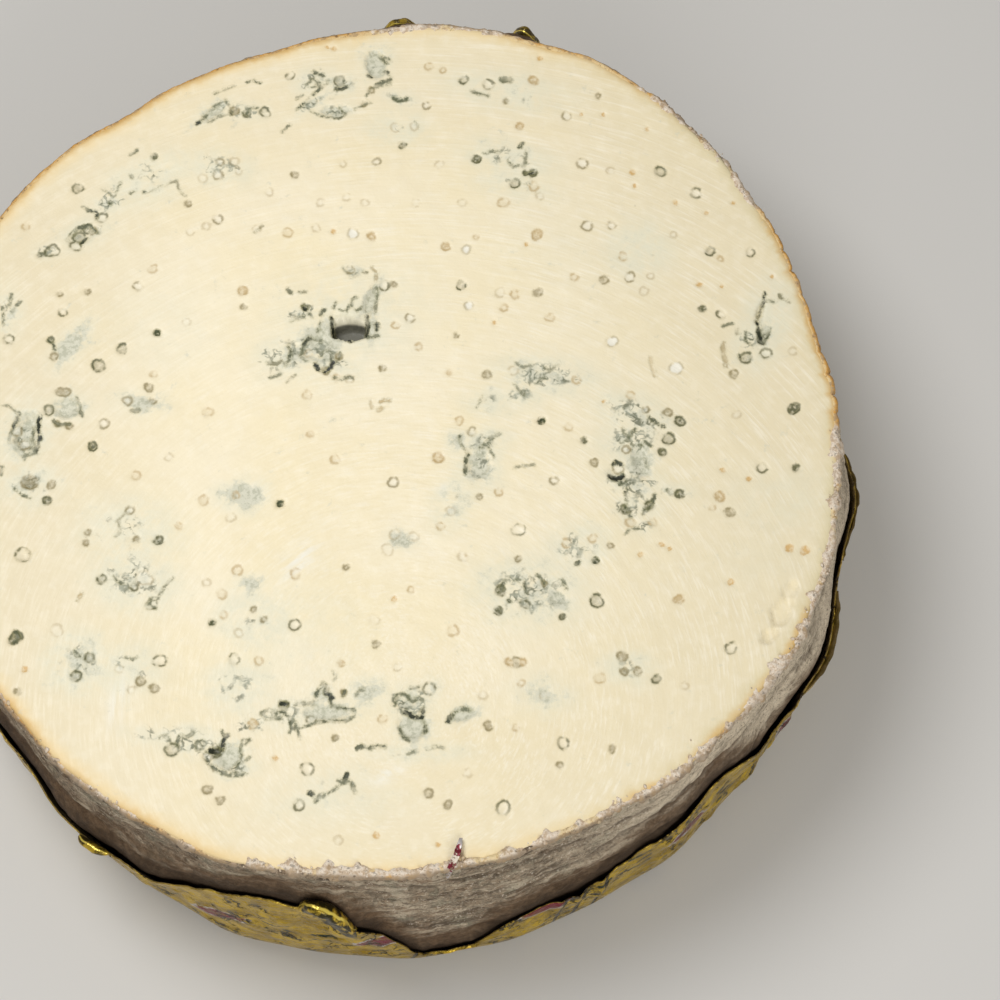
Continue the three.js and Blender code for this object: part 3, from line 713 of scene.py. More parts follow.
# Mould patches: x, y, half width, half height, turn in degrees, and three strengths: of the
# blue-grey filling, of the fine broken rings of mould, and of the pale halo.
PATCHES = (
    (376, 64, 13, 17, 15, 1, 0.5, 0.8), (336, 110, 16, 8, -8, 0.8, 0.6, 0.7),
    (340, 84, 13, 10, 0, 0.5, 1, 0.8), (312, 80, 18, 12, -20, 0.2, 0.9, 0.7),
    (312, 103, 22, 6, -38, 0.6, 0.8, 0.7), (400, 98, 16, 8, 10, 0.3, 0.6, 0.6),
    (398, 128, 24, 14, 0, 0.1, 0.3, 0.8), (213, 112, 19, 8, -38, 0.8, 0.7, 0.7),
    (245, 112, 20, 8, 5, 0.2, 0.9, 0.6), (221, 168, 26, 15, 10, 0.1, 0.7, 0.8),
    (150, 178, 34, 20, -20, 0.1, 0.4, 0.8), (112, 198, 22, 13, -45, 0.3, 0.9, 0.8),
    (84, 234, 18, 12, -30, 0.4, 0.7, 0.9), (48, 250, 12, 9, -20, 0.2, 0.9, 0.6),
    (8, 312, 12, 22, 0, 0.4, 0.6, 0.7), (71, 344, 22, 10, -54, 1, 0.1, 0.8),
    (24, 433, 18, 24, 12, 0.8, 0.7, 1), (68, 407, 14, 13, 10, 1, 0.2, 0.8),
    (30, 484, 20, 16, 0, 0.3, 0.6, 0.9), (140, 402, 22, 12, 0, 0.7, 0.1, 0.6),
    (136, 580, 30, 22, 20, 0.25, 0.7, 1), (130, 535, 34, 26, 0, 0.1, 0.4, 0.9),
    (250, 584, 12, 8, 0, 0.7, 0.2, 0.7), (255, 618, 26, 20, 10, 0.15, 0.3, 1),
    (240, 686, 24, 20, 0, 0.1, 0.5, 0.9), (78, 662, 22, 22, 0, 0.5, 0.5, 1),
    (125, 668, 28, 20, 0, 0.1, 0.4, 0.8), (345, 325, 58, 44, -25, 0, 0.1, 0.7),
    (371, 299, 8, 19, 18, 1, 0.1, 0.6), (322, 340, 20, 18, -30, 0.9, 0.4, 0.8),
    (330, 350, 10, 16, -10, 0.8, 0.6, 0.8), (372, 325, 8, 18, 8, 0.8, 0.3, 0.6),
    (305, 350, 34, 16, -30, 0.5, 0.9, 0.9), (275, 352, 16, 12, -20, 0.1, 0.9, 0.8),
    (333, 364, 22, 9, 10, 0.1, 0.7, 0.9), (352, 272, 14, 8, 0, 0.3, 0.6, 0.6),
    (299, 312, 14, 8, -20, 0.2, 0.8, 0.6), (508, 158, 34, 14, 12, 0.15, 0.5, 0.9),
    (515, 184, 30, 14, 10, 0.1, 0.4, 0.7), (506, 90, 44, 16, 10, 0.1, 0.2, 0.8),
    (545, 376, 36, 14, 5, 0.45, 0.8, 1), (522, 390, 16, 14, 0, 0.4, 0.7, 0.9),
    (492, 402, 20, 12, 0, 0.1, 0.5, 0.8), (478, 464, 15, 20, -12, 0.8, 0.6, 1),
    (486, 444, 18, 12, -20, 0.4, 0.7, 0.9), (456, 442, 8, 9, 0, 0.7, 0.1, 0.9),
    (452, 500, 14, 24, 20, 0.35, 0.2, 0.8), (635, 415, 28, 16, 20, 0.3, 0.9, 0.9),
    (632, 440, 24, 16, -10, 0.3, 1, 0.9), (641, 460, 11, 22, 8, 1, 0.5, 0.9),
    (632, 482, 22, 14, 0, 0.5, 1, 0.9), (636, 505, 18, 18, 0, 0.15, 0.8, 0.8),
    (672, 492, 16, 8, 0, 0.3, 0.6, 0.7), (646, 526, 14, 8, -30, 0.1, 0.7, 0.5),
    (766, 322, 16, 34, 18, 0, 0.1, 1), (764, 334, 8, 12, 20, 0.9, 0.3, 0.8),
    (748, 342, 12, 12, 0, 0.3, 0.9, 0.8), (746, 357, 10, 8, 0, 0.5, 0.6, 0.8),
    (580, 546, 22, 16, -10, 0.25, 0.6, 0.9), (528, 590, 36, 24, 5, 0.4, 0.8, 1),
    (557, 598, 10, 9, 0, 1, 0.2, 0.9), (630, 668, 18, 12, 10, 0.1, 0.5, 0.9),
    (544, 694, 22, 14, 10, 0.4, 0.1, 0.7), (190, 742, 26, 12, 10, 0.15, 1, 0.9),
    (229, 757, 14, 15, 0, 1, 0.2, 0.9), (240, 768, 14, 8, 0, 0.3, 0.7, 0.8),
    (144, 736, 18, 8, 15, 0, 0.6, 0.6), (254, 724, 16, 9, -20, 0.1, 0.9, 0.6),
    (284, 714, 16, 12, 10, 0.3, 0.7, 0.8), (326, 712, 28, 9, 0, 0.9, 0.2, 0.8),
    (323, 694, 10, 10, 0, 0.8, 0.2, 0.7), (366, 692, 16, 12, -20, 0.6, 0.3, 0.8),
    (413, 726, 15, 15, 0, 1, 0.3, 0.8), (410, 702, 18, 14, 0, 0.5, 1, 0.8),
    (430, 688, 9, 10, 0, 0.4, 0.4, 0.7), (463, 713, 14, 8, -15, 0.9, 0.2, 0.7),
    (420, 752, 34, 8, 0, 0.3, 0.4, 0.8), (330, 790, 30, 14, -20, 0.1, 0.3, 0.7),
    (236, 496, 16, 10, 0, 0.7, 0.1, 0.9), (250, 496, 14, 14, 10, 0.9, 0, 0.9),
    (400, 540, 12, 8, 10, 0.8, 0.3, 0.7), (166, 330, 50, 44, 0, 0, 0, 0.35),
    (760, 560, 40, 26, -20, 0, 0, 0.3), (780, 500, 40, 26, 0, 0, 0, 0.5),
    (330, 800, 60, 20, 0, 0, 0, 0.5), (560, 250, 60, 40, 0, 0, 0, 0.25),
    (300, 640, 60, 60, 0, 0, 0, 0.4), (640, 250, 24, 24, 0, 0.1, 0.2, 0.8),
)

# Whitish smears left by the knife: x, y, half length, half height, turn in degrees.
SMEARS = (
    (443, 490, 7, 4, -60), (388, 775, 16, 7, -25), (514, 568, 4, 3, 0), (255, 492, 8, 9, 10),
    (212, 757, 3, 2, -20), (300, 560, 26, 12, -50), (120, 700, 30, 10, -80),
)

DRAG_CENTRE = (400, 700)  # pixels: the knife's drag marks run in circles about this place
DRAG_SLOWNESS = 11  # mm: radius of the circle that stands for the way round; less is longer marks


EYE_SEED = 907
EYE_REACH = 12  # mm about an eye's middle in which the eye is sought as the nearest
STROKE_REACH = 10  # mm beyond the ends of a stroke's straight piece, likewise
DIMPLE_MARGIN = 0.35  # mm by which an eye's dimple is wider than its ring
DIMPLE_POWER = 0.7
HALO_SPREAD = 1.7  # a halo's size as a share of its patch's


def points_near(place, middle, reach):
    """Numbers of the points in the square that goes as far as reach from a middle."""
    return np.flatnonzero(np.abs(place - middle).max(axis=1) < reach)


def eye_fields(place):
    """Distance in mm beyond the nearest eye's ring, its look, and the depth of the dimples.

    An eye's middle is moved to the nearest point of the surface, so that it isn't lost between
    points. Its outline is a circle with two and with three waves round it, and its ring fades
    towards one side as ((1 + cos) / 2) ** 2. The nearest eye is the one whose outline is.
    """
    draw = np.random.default_rng(EYE_SEED)
    line = np.full(len(place), FAR)
    look = np.zeros((len(place), 3))
    dent = np.zeros(len(place))
    for name, eyes in EYES.items():
        ring, inside, tan, depth = EYE_LOOKS[name]
        for x, y, radius_pixels in eyes:
            egg, knuckle, gap = draw.uniform(0, 1, 3) * (EGG, KNUCKLE, RING_GAP)
            turns = draw.uniform(0, TURN, 3)
            wanted = face_place((x, y))
            near = points_near(place, wanted, EYE_REACH)
            if not len(near):
                continue
            reach = np.linalg.norm(place[near] - wanted, axis=1)
            offset = place[near] - place[near[np.argmin(reach)]]
            distance = np.linalg.norm(offset, axis=1)
            around = np.arctan2(offset[:, 1], offset[:, 0])
            lobes = egg * np.cos(2 * around - turns[0]) + knuckle * np.cos(3 * around - turns[1])
            radius = radius_pixels / PIXELS_PER_MM * (1 + lobes)
            closer = distance - radius < line[near]
            line[near[closer]] = (distance - radius)[closer]
            open_side = ((1 + np.cos(around - turns[2])) / 2) ** 2
            shades = np.stack([ring * (1 - gap * open_side), inside + 0 * around, tan + 0 * around])
            look[near[closer]] = shades.T[closer]
            hollow = np.clip(1 - (distance / (radius + DIMPLE_MARGIN)) ** 2, 0, 1)
            dent[near] = np.maximum(dent[near], depth * hollow**DIMPLE_POWER)
    return line, look, dent


def stroke_fields(place):
    """Distance in mm beyond the nearest stroke's edge, and its darkness and tint.

    Distance is that to the nearest piece of the stroke's line, less its half width.
    """
    line = np.full(len(place), FAR)
    look = np.zeros((len(place), 3))
    for (dark, tint), strokes in STROKES.items():
        for half_width, *pixels in strokes:
            ends = face_place(np.reshape(pixels, (-1, 2)))
            for start, end in zip(ends[:-1], ends[1:]):
                near, distance = distance_to_piece(place, start, end)
                distance = distance - half_width / PIXELS_PER_MM
                closer = distance < line[near]
                line[near[closer]] = distance[closer]
                look[near[closer]] = (dark, tint, 0)
    return line, look


def distance_to_piece(place, start, end):
    """Numbers of the points near a straight piece, and their distances from it."""
    along = end - start
    reach = np.linalg.norm(along) / 2 + STROKE_REACH
    near = points_near(place, (start + end) / 2, reach)
    share = np.clip((place[near] - start) @ along / (along @ along), 0, 1)
    nearest = start + share[:, None] * along
    return near, np.linalg.norm(place[near] - nearest, axis=1)


def ellipse_hump(place, x, y, half_width, half_height, turn):
    """exp(-q ** 2) where q is 1 on the ellipse, whose turn is clockwise in the photograph."""
    offset = (place - face_place((x, y))) * PIXELS_PER_MM
    cos, sin = math.cos(math.radians(-turn)), math.sin(math.radians(-turn))
    along = (offset[:, 0] * cos + offset[:, 1] * sin) / half_width
    across = (offset[:, 1] * cos - offset[:, 0] * sin) / half_height
    return np.exp(-(along**2 + across**2))


def mould_fields(place):
    """Strengths of the blue-grey filling, the fine mould rings and the halo, from 0 to 1."""
    total = np.zeros((len(place), 3))
    for x, y, half_width, half_height, turn, *strengths in PATCHES:
        shape = ellipse_hump(place, x, y, half_width, half_height, turn)
        wider = (half_width * HALO_SPREAD, half_height * HALO_SPREAD)
        halo = ellipse_hump(place, x, y, *wider, turn)
        total = np.maximum(total, np.stack([shape, shape, halo], axis=-1) * strengths)
    return total


def smear_field(place):
    """The greatest of the smears' humps."""
    total = np.zeros(len(place))
    for smear in SMEARS:
        total = np.maximum(total, ellipse_hump(place, *smear))
    return total


# ---- the paste ----

PASTE_INSET = 0.45  # how far the paste stays inside the cut's outline
PASTE_ROUNDING = 1.8  # width over which the paste's edge turns down
PASTE_EDGE_DROP = 0.8
PASTE_DEPTH = 13  # how far it reaches down inside the rind
PASTE_FLOOR_SHARE = 0.96
FACE_RELIEF = ((0.18, 28, 3, 3), (0.07, 6, 5, 2))  # depth, size, seed, layers
DRAG_DEPTH = 0.07
DRAG_SIZE = 3.2
DRAG_SEED = 8
FACE_SHARE_OF_UV = 0.94
WALL_UV_START = 0.95
WALL_UV_WIDTH = 0.022
WALL_UV_END = 0.005

# Larger openings in the cut: x, y, half length, half width in pixels, turn, depth in mm.
OPENINGS = (
    (371, 300, 17, 6, 108, 1.6), (322, 341, 14, 11, 30, 1.2), (305, 350, 22, 9, 25, 0.7),
    (760, 312, 16, 2.6, 105, 2.2), (763, 334, 10, 6, 100, 1.8), (26, 433, 22, 12, 100, 1.4),
    (66, 407, 16, 11, 10, 0.9), (376, 64, 16, 11, 80, 1.2), (336, 110, 15, 7, -5, 0.9),
    (82, 235, 15, 9, -30, 0.9), (213, 112, 16, 6, -38, 0.9), (641, 460, 19, 9, 80, 0.9),
    (616, 474, 8, 7, 0, 1.2), (478, 464, 17, 12, 75, 0.9), (229, 757, 14, 12, 0, 1.2),
    (217, 750, 6, 4, -10, 1.6), (327, 713, 24, 8, 0, 0.9), (413, 726, 14, 13, 0, 1.2),
    (405, 700, 11, 9, 0, 0.9), (463, 713, 12, 7, -15, 0.8), (541, 420, 3, 3, 0, 2.2),
    (557, 598, 8, 8, 0, 0.7), (24, 555, 6, 6, 0, 1.0), (782, 612, 18, 10, -60, 1.5),
    (790, 590, 12, 6, -60, 1.2), (770, 634, 12, 7, -50, 1.4),
)

HOLE_MIDDLE = (350, 327)  # the one large hole, in pixels
HOLE_HALF_WIDTH = 18.5
HOLE_HALF_HEIGHT = 15.5
HOLE_DEPTH = 7.0
HOLE_SHELF_SHARE = 0.3
HOLE_SHELF_EDGE = (0.62, 0.25)  # in half heights: where the shelf begins to fall, and where it ends
HOLE_SHELF_BEND = 0.3
HOLE_WALL = (1.02, 0.8)  # in half widths: the wall's top and foot
HOLE_ROUGH = 0.12
HOLE_ROUGH_BACK = 0.2  # added at the back
HOLE_ROUGH_SIZE = 3.4
HOLE_SEED = 31
OPENING_ROUGH = 0.35
OPENING_ROUGH_SIZE = 3.0
OPENING_SEED = 41
OPENING_WALL = (0.3, 0.62)  # of the opening's hump: where its wall begins, and where its floor does


def folded_disc(steps):
    """A square grid folded onto a unit disc: share of the radius, and angle, for each point.

    Each square about the middle becomes a circle. With a the larger and b the smaller of a
    point's two coordinates, its share is |a|, and b / a sets its angle within a quarter turn.
    """
    side = np.linspace(-1, 1, steps)
    across, up = np.meshgrid(side, side)
    wide = np.abs(across) > np.abs(up)
    larger = np.where(wide, across, up)
    smaller = np.where(wide, up, across)
    ratio = np.divide(smaller, larger, out=np.zeros_like(larger), where=larger != 0)
    angle = np.where(wide, ratio * math.pi / 4, math.pi / 2 - ratio * math.pi / 4)
    return np.abs(larger), angle + math.pi * (larger < 0)


def flat_points(place):
    return np.c_[place, 0 * place[:, 0]]


def hole_depth(place):
    """The large hole: steep sides, deep towards the camera, and a shelf at the back painted pale as
    lit.

    Its outline is |x| ** 3 + |y| ** 3 = 1, in half widths, roughened by noise.
    """
    offset = (place - face_place(HOLE_MIDDLE)) * PIXELS_PER_MM
    x = offset[:, 0] / HOLE_HALF_WIDTH
    y = offset[:, 1] / HOLE_HALF_HEIGHT
    ragged = HOLE_ROUGH + HOLE_ROUGH_BACK * smooth_step(0.2, 0.9, y)
    ragged = ragged * layered_noise(flat_points(place), HOLE_ROUGH_SIZE, HOLE_SEED, 2)
    reach = (np.abs(x) ** 3 + np.abs(y) ** 3) ** (1 / 3)
    wall = smooth_step(*HOLE_WALL, reach + ragged)
    front = smooth_step(*HOLE_SHELF_EDGE, y + HOLE_SHELF_BEND * x**2)
    shelf = HOLE_SHELF_SHARE + (1 - HOLE_SHELF_SHARE) * front
    return HOLE_DEPTH * wall * shelf, wall


def opening_depth(place):
    """Ragged shallow openings, each falling from its ellipse's edge to a rough floor."""
    ragged = layered_noise(flat_points(place), OPENING_ROUGH_SIZE, OPENING_SEED, 3)
    ragged = OPENING_ROUGH * ragged
    total = np.zeros(len(place))
    for x, y, half_length, half_width, turn, depth in OPENINGS:
        shape = ellipse_hump(place, x, y, half_length, half_width, turn)
        total = np.maximum(total, depth * smooth_step(*OPENING_WALL, shape + ragged * shape))
    return total


def paste_surface(place, inset):
    """Height of the cut face, with its swell, drag marks, eyes and openings."""
    height = cut_height(place[:, 0], place[:, 1])
    height += relief_sum(flat_points(place), FACE_RELIEF)
    height += DRAG_DEPTH * noise(drag_coordinates(place), DRAG_SIZE, DRAG_SEED)
    line, look, dent = eye_fields(place)
    hole, wall = hole_depth(place)
    height -= np.maximum.reduce([dent, opening_depth(place), hole])
    drop = np.clip(1 - inset / PASTE_ROUNDING, 0, 1)
    return height - PASTE_EDGE_DROP * drop**2, line, look, wall


def drag_coordinates(place):
    """Distance from the drag marks' centre, then a slow circle that turns with the angle."""
    offset = place - face_place(DRAG_CENTRE)
    angle = np.arctan2(offset[:, 1], offset[:, 0])
    return np.c_[np.hypot(offset[:, 0], offset[:, 1]), DRAG_SLOWNESS * radial(angle)]


def face_grid_faces(steps):
    """Triangles of a square grid, and each corner's (column, row).

    Each cell is split along the diagonal that points at the grid's middle, where the disc folds.
    """
    row, column = np.meshgrid(np.arange(steps - 1), np.arange(steps - 1), indexing="ij")
    row, column = row.ravel(), column.ravel()
    middle = (steps - 2) / 2
    rising = (row - middle) * (column - middle) >= 0
    corners = []
    for rising_steps, falling_steps in (
        ([[0, 0], [1, 0], [1, 1]], [[0, 0], [1, 0], [0, 1]]),
        ([[0, 0], [1, 1], [0, 1]], [[1, 0], [1, 1], [0, 1]]),
    ):
        taken = np.where(rising[:, None, None], np.array(rising_steps), np.array(falling_steps))
        corners.append(np.stack([column, row], axis=-1)[:, None] + taken)
    corners = np.concatenate(corners)
    return corners[..., 1] * steps + corners[..., 0], corners.astype(float)


def grid_border(steps):
    """Point numbers round the border of a square grid, counter-clockwise."""
    last = steps - 1
    bottom = np.arange(last)
    right = np.arange(last) * steps + last
    top = last * steps + np.arange(last, 0, -1)
    left = np.arange(last, 0, -1) * steps
    return np.concatenate([bottom, right, top, left])


def make_paste(material):
    """The paste: a disc whose top is the cut face, closed below by a wall and a flat floor."""
    share, angle = (grid.ravel() for grid in folded_disc(FACE_STEPS))
    outline = cut_radius(angle)
    radius = share * (outline - PASTE_INSET)
    place = radius[:, None] * radial(angle)
    inset = outline - PASTE_INSET - radius
    height, eye_line, eye_look, hole_wall = paste_surface(place, inset)
    top = np.c_[place, height]
    low = top[grid_border(FACE_STEPS)].copy()
    low[:, :2] *= PASTE_FLOOR_SHARE
    low[:, 2] = HEIGHT - PASTE_DEPTH
    points = np.concatenate([top, low, [[0, 0, HEIGHT - PASTE_DEPTH]]])
    piece = make_piece("paste", points, *paste_faces(), material)
    stroke_line, stroke_look = stroke_fields(place)
    fields = {
        "eye_line": eye_line,
        "eye_look": eye_look,
        "stroke_line": stroke_line,
        "stroke_look": stroke_look,
        "mould": mould_fields(place),
        "smear": smear_field(place),
        "hole": hole_wall,
        "inset": inset,
        "amber": rim_level(RIM_AMBERS, angle),
        "drag": drag_coordinates(place),
    }
    add_values(piece, fields, len(points) - len(top))
    place_piece(piece, "cheese")


def paste_faces():
    """Triangles of the face, of the wall under its border and of the floor, and their UVs.

    The points are the face's grid, then one below each border point, then the floor's middle.
    """
    border = grid_border(FACE_STEPS)
    here = np.arange(len(border))
    onward = (here + 1) % len(border)
    low = FACE_STEPS**2 + here
    next_low = FACE_STEPS**2 + onward
    middle = np.full(len(border), FACE_STEPS**2 + len(border))
    face, face_corners = face_grid_faces(FACE_STEPS)
    faces = np.concatenate([
        face,
        np.stack([border, low, next_low], axis=-1),
        np.stack([border, next_low, border[onward]], axis=-1),
        np.stack([next_low, low, middle], axis=-1),
    ])
    begin = here / len(border)
    end = (here + 1) / len(border)
    half = (begin + end) / 2
    corner_uv = np.concatenate([
        face_corners / (FACE_STEPS - 1) * FACE_SHARE_OF_UV,
        np.stack([wall_uv(0, begin), wall_uv(1, begin), wall_uv(1, end)], axis=1),
        np.stack([wall_uv(0, begin), wall_uv(1, end), wall_uv(0, end)], axis=1),
        np.stack([wall_uv(1.2, end), wall_uv(1.2, begin), wall_uv(2, half)], axis=1),
    ])
    return faces, corner_uv


def wall_uv(across, along):
    """UV beside the face's square, for the hidden wall and floor: across in thirds, along up."""
    u = WALL_UV_START + WALL_UV_WIDTH * across + 0 * along
    return np.stack([u, WALL_UV_END + (1 - 2 * WALL_UV_END) * along], axis=-1)


# ---- the rind ----

RIND_TOP = 86.6
RIND_UNDER_SHARES = (0.35, 0.7, 0.92)  # of the underside's flat radius: its rows
RIND_LIP = ((0.5, 87.1), (2.2, 86.9), (3.2, 78), (4.2, 72))  # inset and height of its rows
RIND_FLOOR_SHARE = 0.4  # of the radius: the last row of the floor that closes the rind inside
RIND_RIDGES = ((0.55, 6.5, 61, 3), (0.3, 2.2, 67, 2))  # depth, size, seed, layers
RIND_WRINKLES = ((0.4, 3.4, 71, 3), (0.125, 1.7, 77, 1))
RIDGE_FLOW = 40  # mm: radius of the circle that stands for the way round; less is longer ridges
STREAK_FLOW = 48  # the same for the rind's dark and pale streaks
RIND_PIT_DEPTH = 0.9
RIND_PIT_SPACING = 5.5
RIND_PIT_SEED = 73
RIND_PIT_EDGE = (0.24, 0.08)  # shares of the spacing: a pit's edge, and its floor's
RIND_PITTED = (20, 79, 0.1)  # noise's size and seed, and the least of it where there are pits
FOIL_CLEARANCE = 0.25  # mm kept free between the rind's relief and the foil
RIND_PALENESS = ((-44, 18, 0.75), (-12, 27, 1.0), (30, 30, 0.5), (90, 40, 0.4))
RIND_LEAST_PALENESS = 0.12
CALM_SHARE = 0.6  # of the relief that goes near the foil's edge
CALM_HALF_HEIGHT = 5
RELIEF_FROM = (HEEL_TOP - 2, HEEL_TOP + 6)  # heights at which the relief begins and is full
ROOM_ABOVE = 3  # mm more of room for the relief above the foil's edge
BARE_FROM = 30  # lowest height of bare rind: above it the rows are fine
RIND_FINE_ROWS = 58
RIND_COARSE_ROWS = 6
RIND_FULLNESS = 0.9  # of a flap's stand-off, in front
RIND_HOLLOW = ((100, 45, 0.8), (150, 20, 0.5))  # at the back: angle, half width, share lost
BULGE_FADE = (24, 2)  # mm above the foil's edge: where the fullness ends, and where it is whole
BARE_FOOT = 26  # mm by which the dark foot of stain and painted shade is lower at the right, where the rind stays pale
BARE_FOOT_CENTRE = -4
BARE_FOOT_HALF_WIDTH = 26
HEEL_ROWS = 5


def rind_relief(points, angle, z):
    """Outward relief: ridges that run round the side, wrinkles, pits and the grooves."""
    ridges = relief_sum(ring_points(angle, RIDGE_FLOW, z), RIND_RIDGES)
    wrinkles = relief_sum(points, RIND_WRINKLES)
    nearest, _ = cell_distance(points, RIND_PIT_SPACING, RIND_PIT_SEED)
    size, seed, least = RIND_PITTED
    pits = smooth_step(*RIND_PIT_EDGE, nearest) * (noise(points, size, seed) > least)
    return ridges + wrinkles - RIND_PIT_DEPTH * pits - groove_depth(angle, z)


def rind_rows(angle):
    """Radius and height of each row: from the underside's middle up the side and down inside."""
    rows = []
    for share in RIND_UNDER_SHARES:
        rows.append((share * heel_point(angle, 0, 0)[0], UNDERSIDE + 0 * angle))
    for step in range(HEEL_ROWS + 1):
        rows.append(heel_point(angle, 90 * step / HEEL_ROWS, 0))
    coarse = np.linspace(HEEL_TOP, BARE_FROM, RIND_COARSE_ROWS + 1)[1:]
    fine = np.linspace(BARE_FROM, RIND_TOP, RIND_FINE_ROWS + 1)[1:]
    for z in np.concatenate([coarse, fine]):
        rows.append((side_radius(angle, z) + rind_bulge(angle, z), z + 0 * angle))
    for inset, height in RIND_LIP:
        rows.append((cut_radius(angle) - inset, height + 0 * angle))
    rows.append((RIND_FLOOR_SHARE * cut_radius(angle), RIND_LIP[-1][1] + 0 * angle))
    return np.stack([r for r, _ in rows]), np.stack([h for _, h in rows])


def make_rind(material):
    """The rind: up the side, over its lip, and down inside to a floor under the paste.

    Its relief is held back under the foil, so that it doesn't come through.
    """
    angle = np.arange(RIND_COLUMNS) / RIND_COLUMNS * TURN
    radius, z = rind_rows(angle)
    turn = np.broadcast_to(angle, radius.shape)
    side = smooth_step(*RELIEF_FROM, z) * (radius > cut_radius(turn) - 1)
    to_edge = (z - foil_edge_height(turn)) / CALM_HALF_HEIGHT
    calm = 1 - CALM_SHARE * np.exp(-(to_edge**2))
    relief = rind_relief(ring_points(turn, radius, z), turn, z) * side * calm
    free = smooth_step(0, 3, z - foil_edge_height(turn))
    room = FOIL_GAP - FOIL_CLEARANCE + ROOM_ABOVE * free
    piece = shell_of_rows("rind", radius + np.minimum(relief, room), z, material)
    fields = {
        "above_foil": height_above_foil(turn, z).ravel(),
        "relief": relief.ravel(),
        "flow": ring_points(turn, STREAK_FLOW, z).reshape(-1, 3),
        "paleness": rind_paleness(turn).ravel(),
    }
    add_values(piece, fields, POLES)
    place_piece(piece, "cheese")


def height_above_foil(angle, z):
    """Height above the foil's edge, raised at the right, so that the rind's foot is pale there."""
    raised = BARE_FOOT * hump(angle, BARE_FOOT_CENTRE, BARE_FOOT_HALF_WIDTH)
    return z - foil_edge_height(angle) + raised


def rind_bulge(angle, z):
    """The rind's fullness behind a flap: a share of the flap's stand-off, fading out above it."""
    edge = foil_edge_height(angle)
    share = np.clip((z - HEEL_TOP) / (edge - HEEL_TOP), 0, 1)
    fade = smooth_step(*BULGE_FADE, z - edge)
    fullness = RIND_FULLNESS * np.clip(1 - humps(RIND_HOLLOW, angle), 0, 1)
    return fullness * foil_stand_off(angle) * share**2 * fade


def rind_paleness(angle):
    """Pale beige at the lower right, grey-brown in front and darkest at the left."""
    return np.clip(RIND_LEAST_PALENESS + humps(RIND_PALENESS, angle), 0, 1)


# ---- the crumbling rim ----

RIM_ROWS = 38
RIM_LEAST_HALF_WIDTH = 0.95
RIM_EXTRA_HALF_WIDTH = 1.45
RIM_LEAST_INSET = 0.65
RIM_EXTRA_INSET = 0.85
RIM_HALF_HEIGHT = 1.7
RIM_MIDDLE_HEIGHT = 86.2
RIM_LEAST_TALL = 0.85
RIM_EXTRA_TALL = 0.2
RIM_BARE = 0.08
RIM_UNEVEN = ((0.6, 5, 81, 3),)  # of its breadth: share, size, seed, layers
RIM_GRAINS = ((0.15, 3.1, 83), (0.12, 1.3, 89))  # depth, size, seed
RIM_FLAKES = ((0.9, 5, 97, 4), (0.6, 2.6, 99, 3))  # depth, size, seed, layers
RIM_LEAST_RELIEF = 0.25
NOISE_RADIUS = 150  # mm: radius of the ring on which noise round the wheel is taken
RIM_CRUSTS = (  # pixels of a crusted stretch, its half width in degrees, and how broad it is
    (8, 700, 4, 0.4), (55, 755, 2.5, 0.8), (100, 793, 4, 1.0), (125, 815, 2, 0.5),
    (189, 842, 1.5, 0.6), (250, 865, 3, 0.7), (300, 868, 4, 1.0), (335, 866, 4, 1.15),
    (375, 872, 3, 0.6), (405, 872, 2.5, 0.7), (428, 870, 2.5, 0.9), (455, 868, 3, 0.7),
    (490, 862, 4, 0.4), (535, 845, 4, 0.75), (575, 836, 4, 0.4), (621, 808, 3, 1.0),
    (640, 792, 3, 0.8), (665, 770, 4, 1.15), (697, 745, 3, 0.9), (729, 716, 3, 0.9),
    (760, 676, 4, 1.0), (783, 640, 5, 1.1), (800, 605, 6, 1.25), (822, 560, 6, 1.0),
    (838, 500, 7, 0.75), (836, 452, 3, 1.0), (748, 192, 4, 0.6), (725, 160, 5, 0.7),
    (700, 135, 5, 0.7), (675, 110, 5, 0.6), (643, 84, 2, 0.5), (485, 36, 4, 0.6),
    (430, 27, 4, 0.5), (400, 25, 5, 0.6),
)


RIM_AMBERS = (  # pixels of a stretch of amber rim, its half width in degrees, and how strong
    (834, 400, 9, 1.0), (822, 320, 9, 1.0), (795, 250, 7, 1.0), (640, 85, 9, 0.6),
    (560, 45, 10, 0.6), (250, 42, 18, 0.9), (120, 110, 15, 0.9), (30, 180, 10, 0.7),
    (20, 715, 8, 0.7), (75, 775, 5, 0.5), (135, 820, 5, 0.6), (200, 848, 8, 0.4),
    (390, 868, 8, 0.6), (645, 788, 4, 0.8), (710, 732, 7, 0.7), (745, 695, 6, 0.7),
    (775, 625, 5, 0.9),
)


def rim_level(stretches, angle):
    """The greatest of the stretches' humps about their pixels' directions."""
    total = 0 * angle
    for x, y, half_width, size in stretches:
        across, up = face_place((x, y))
        centre = math.degrees(math.atan2(up, across))
        total = np.maximum(total, size * hump(angle, centre, half_width))
    return total


def rim_breadth(angle):
    """How broad and white the rim's crust is, from 0 where it is bare to about 1.2."""
    return np.maximum(RIM_BARE, rim_level(RIM_CRUSTS, angle))


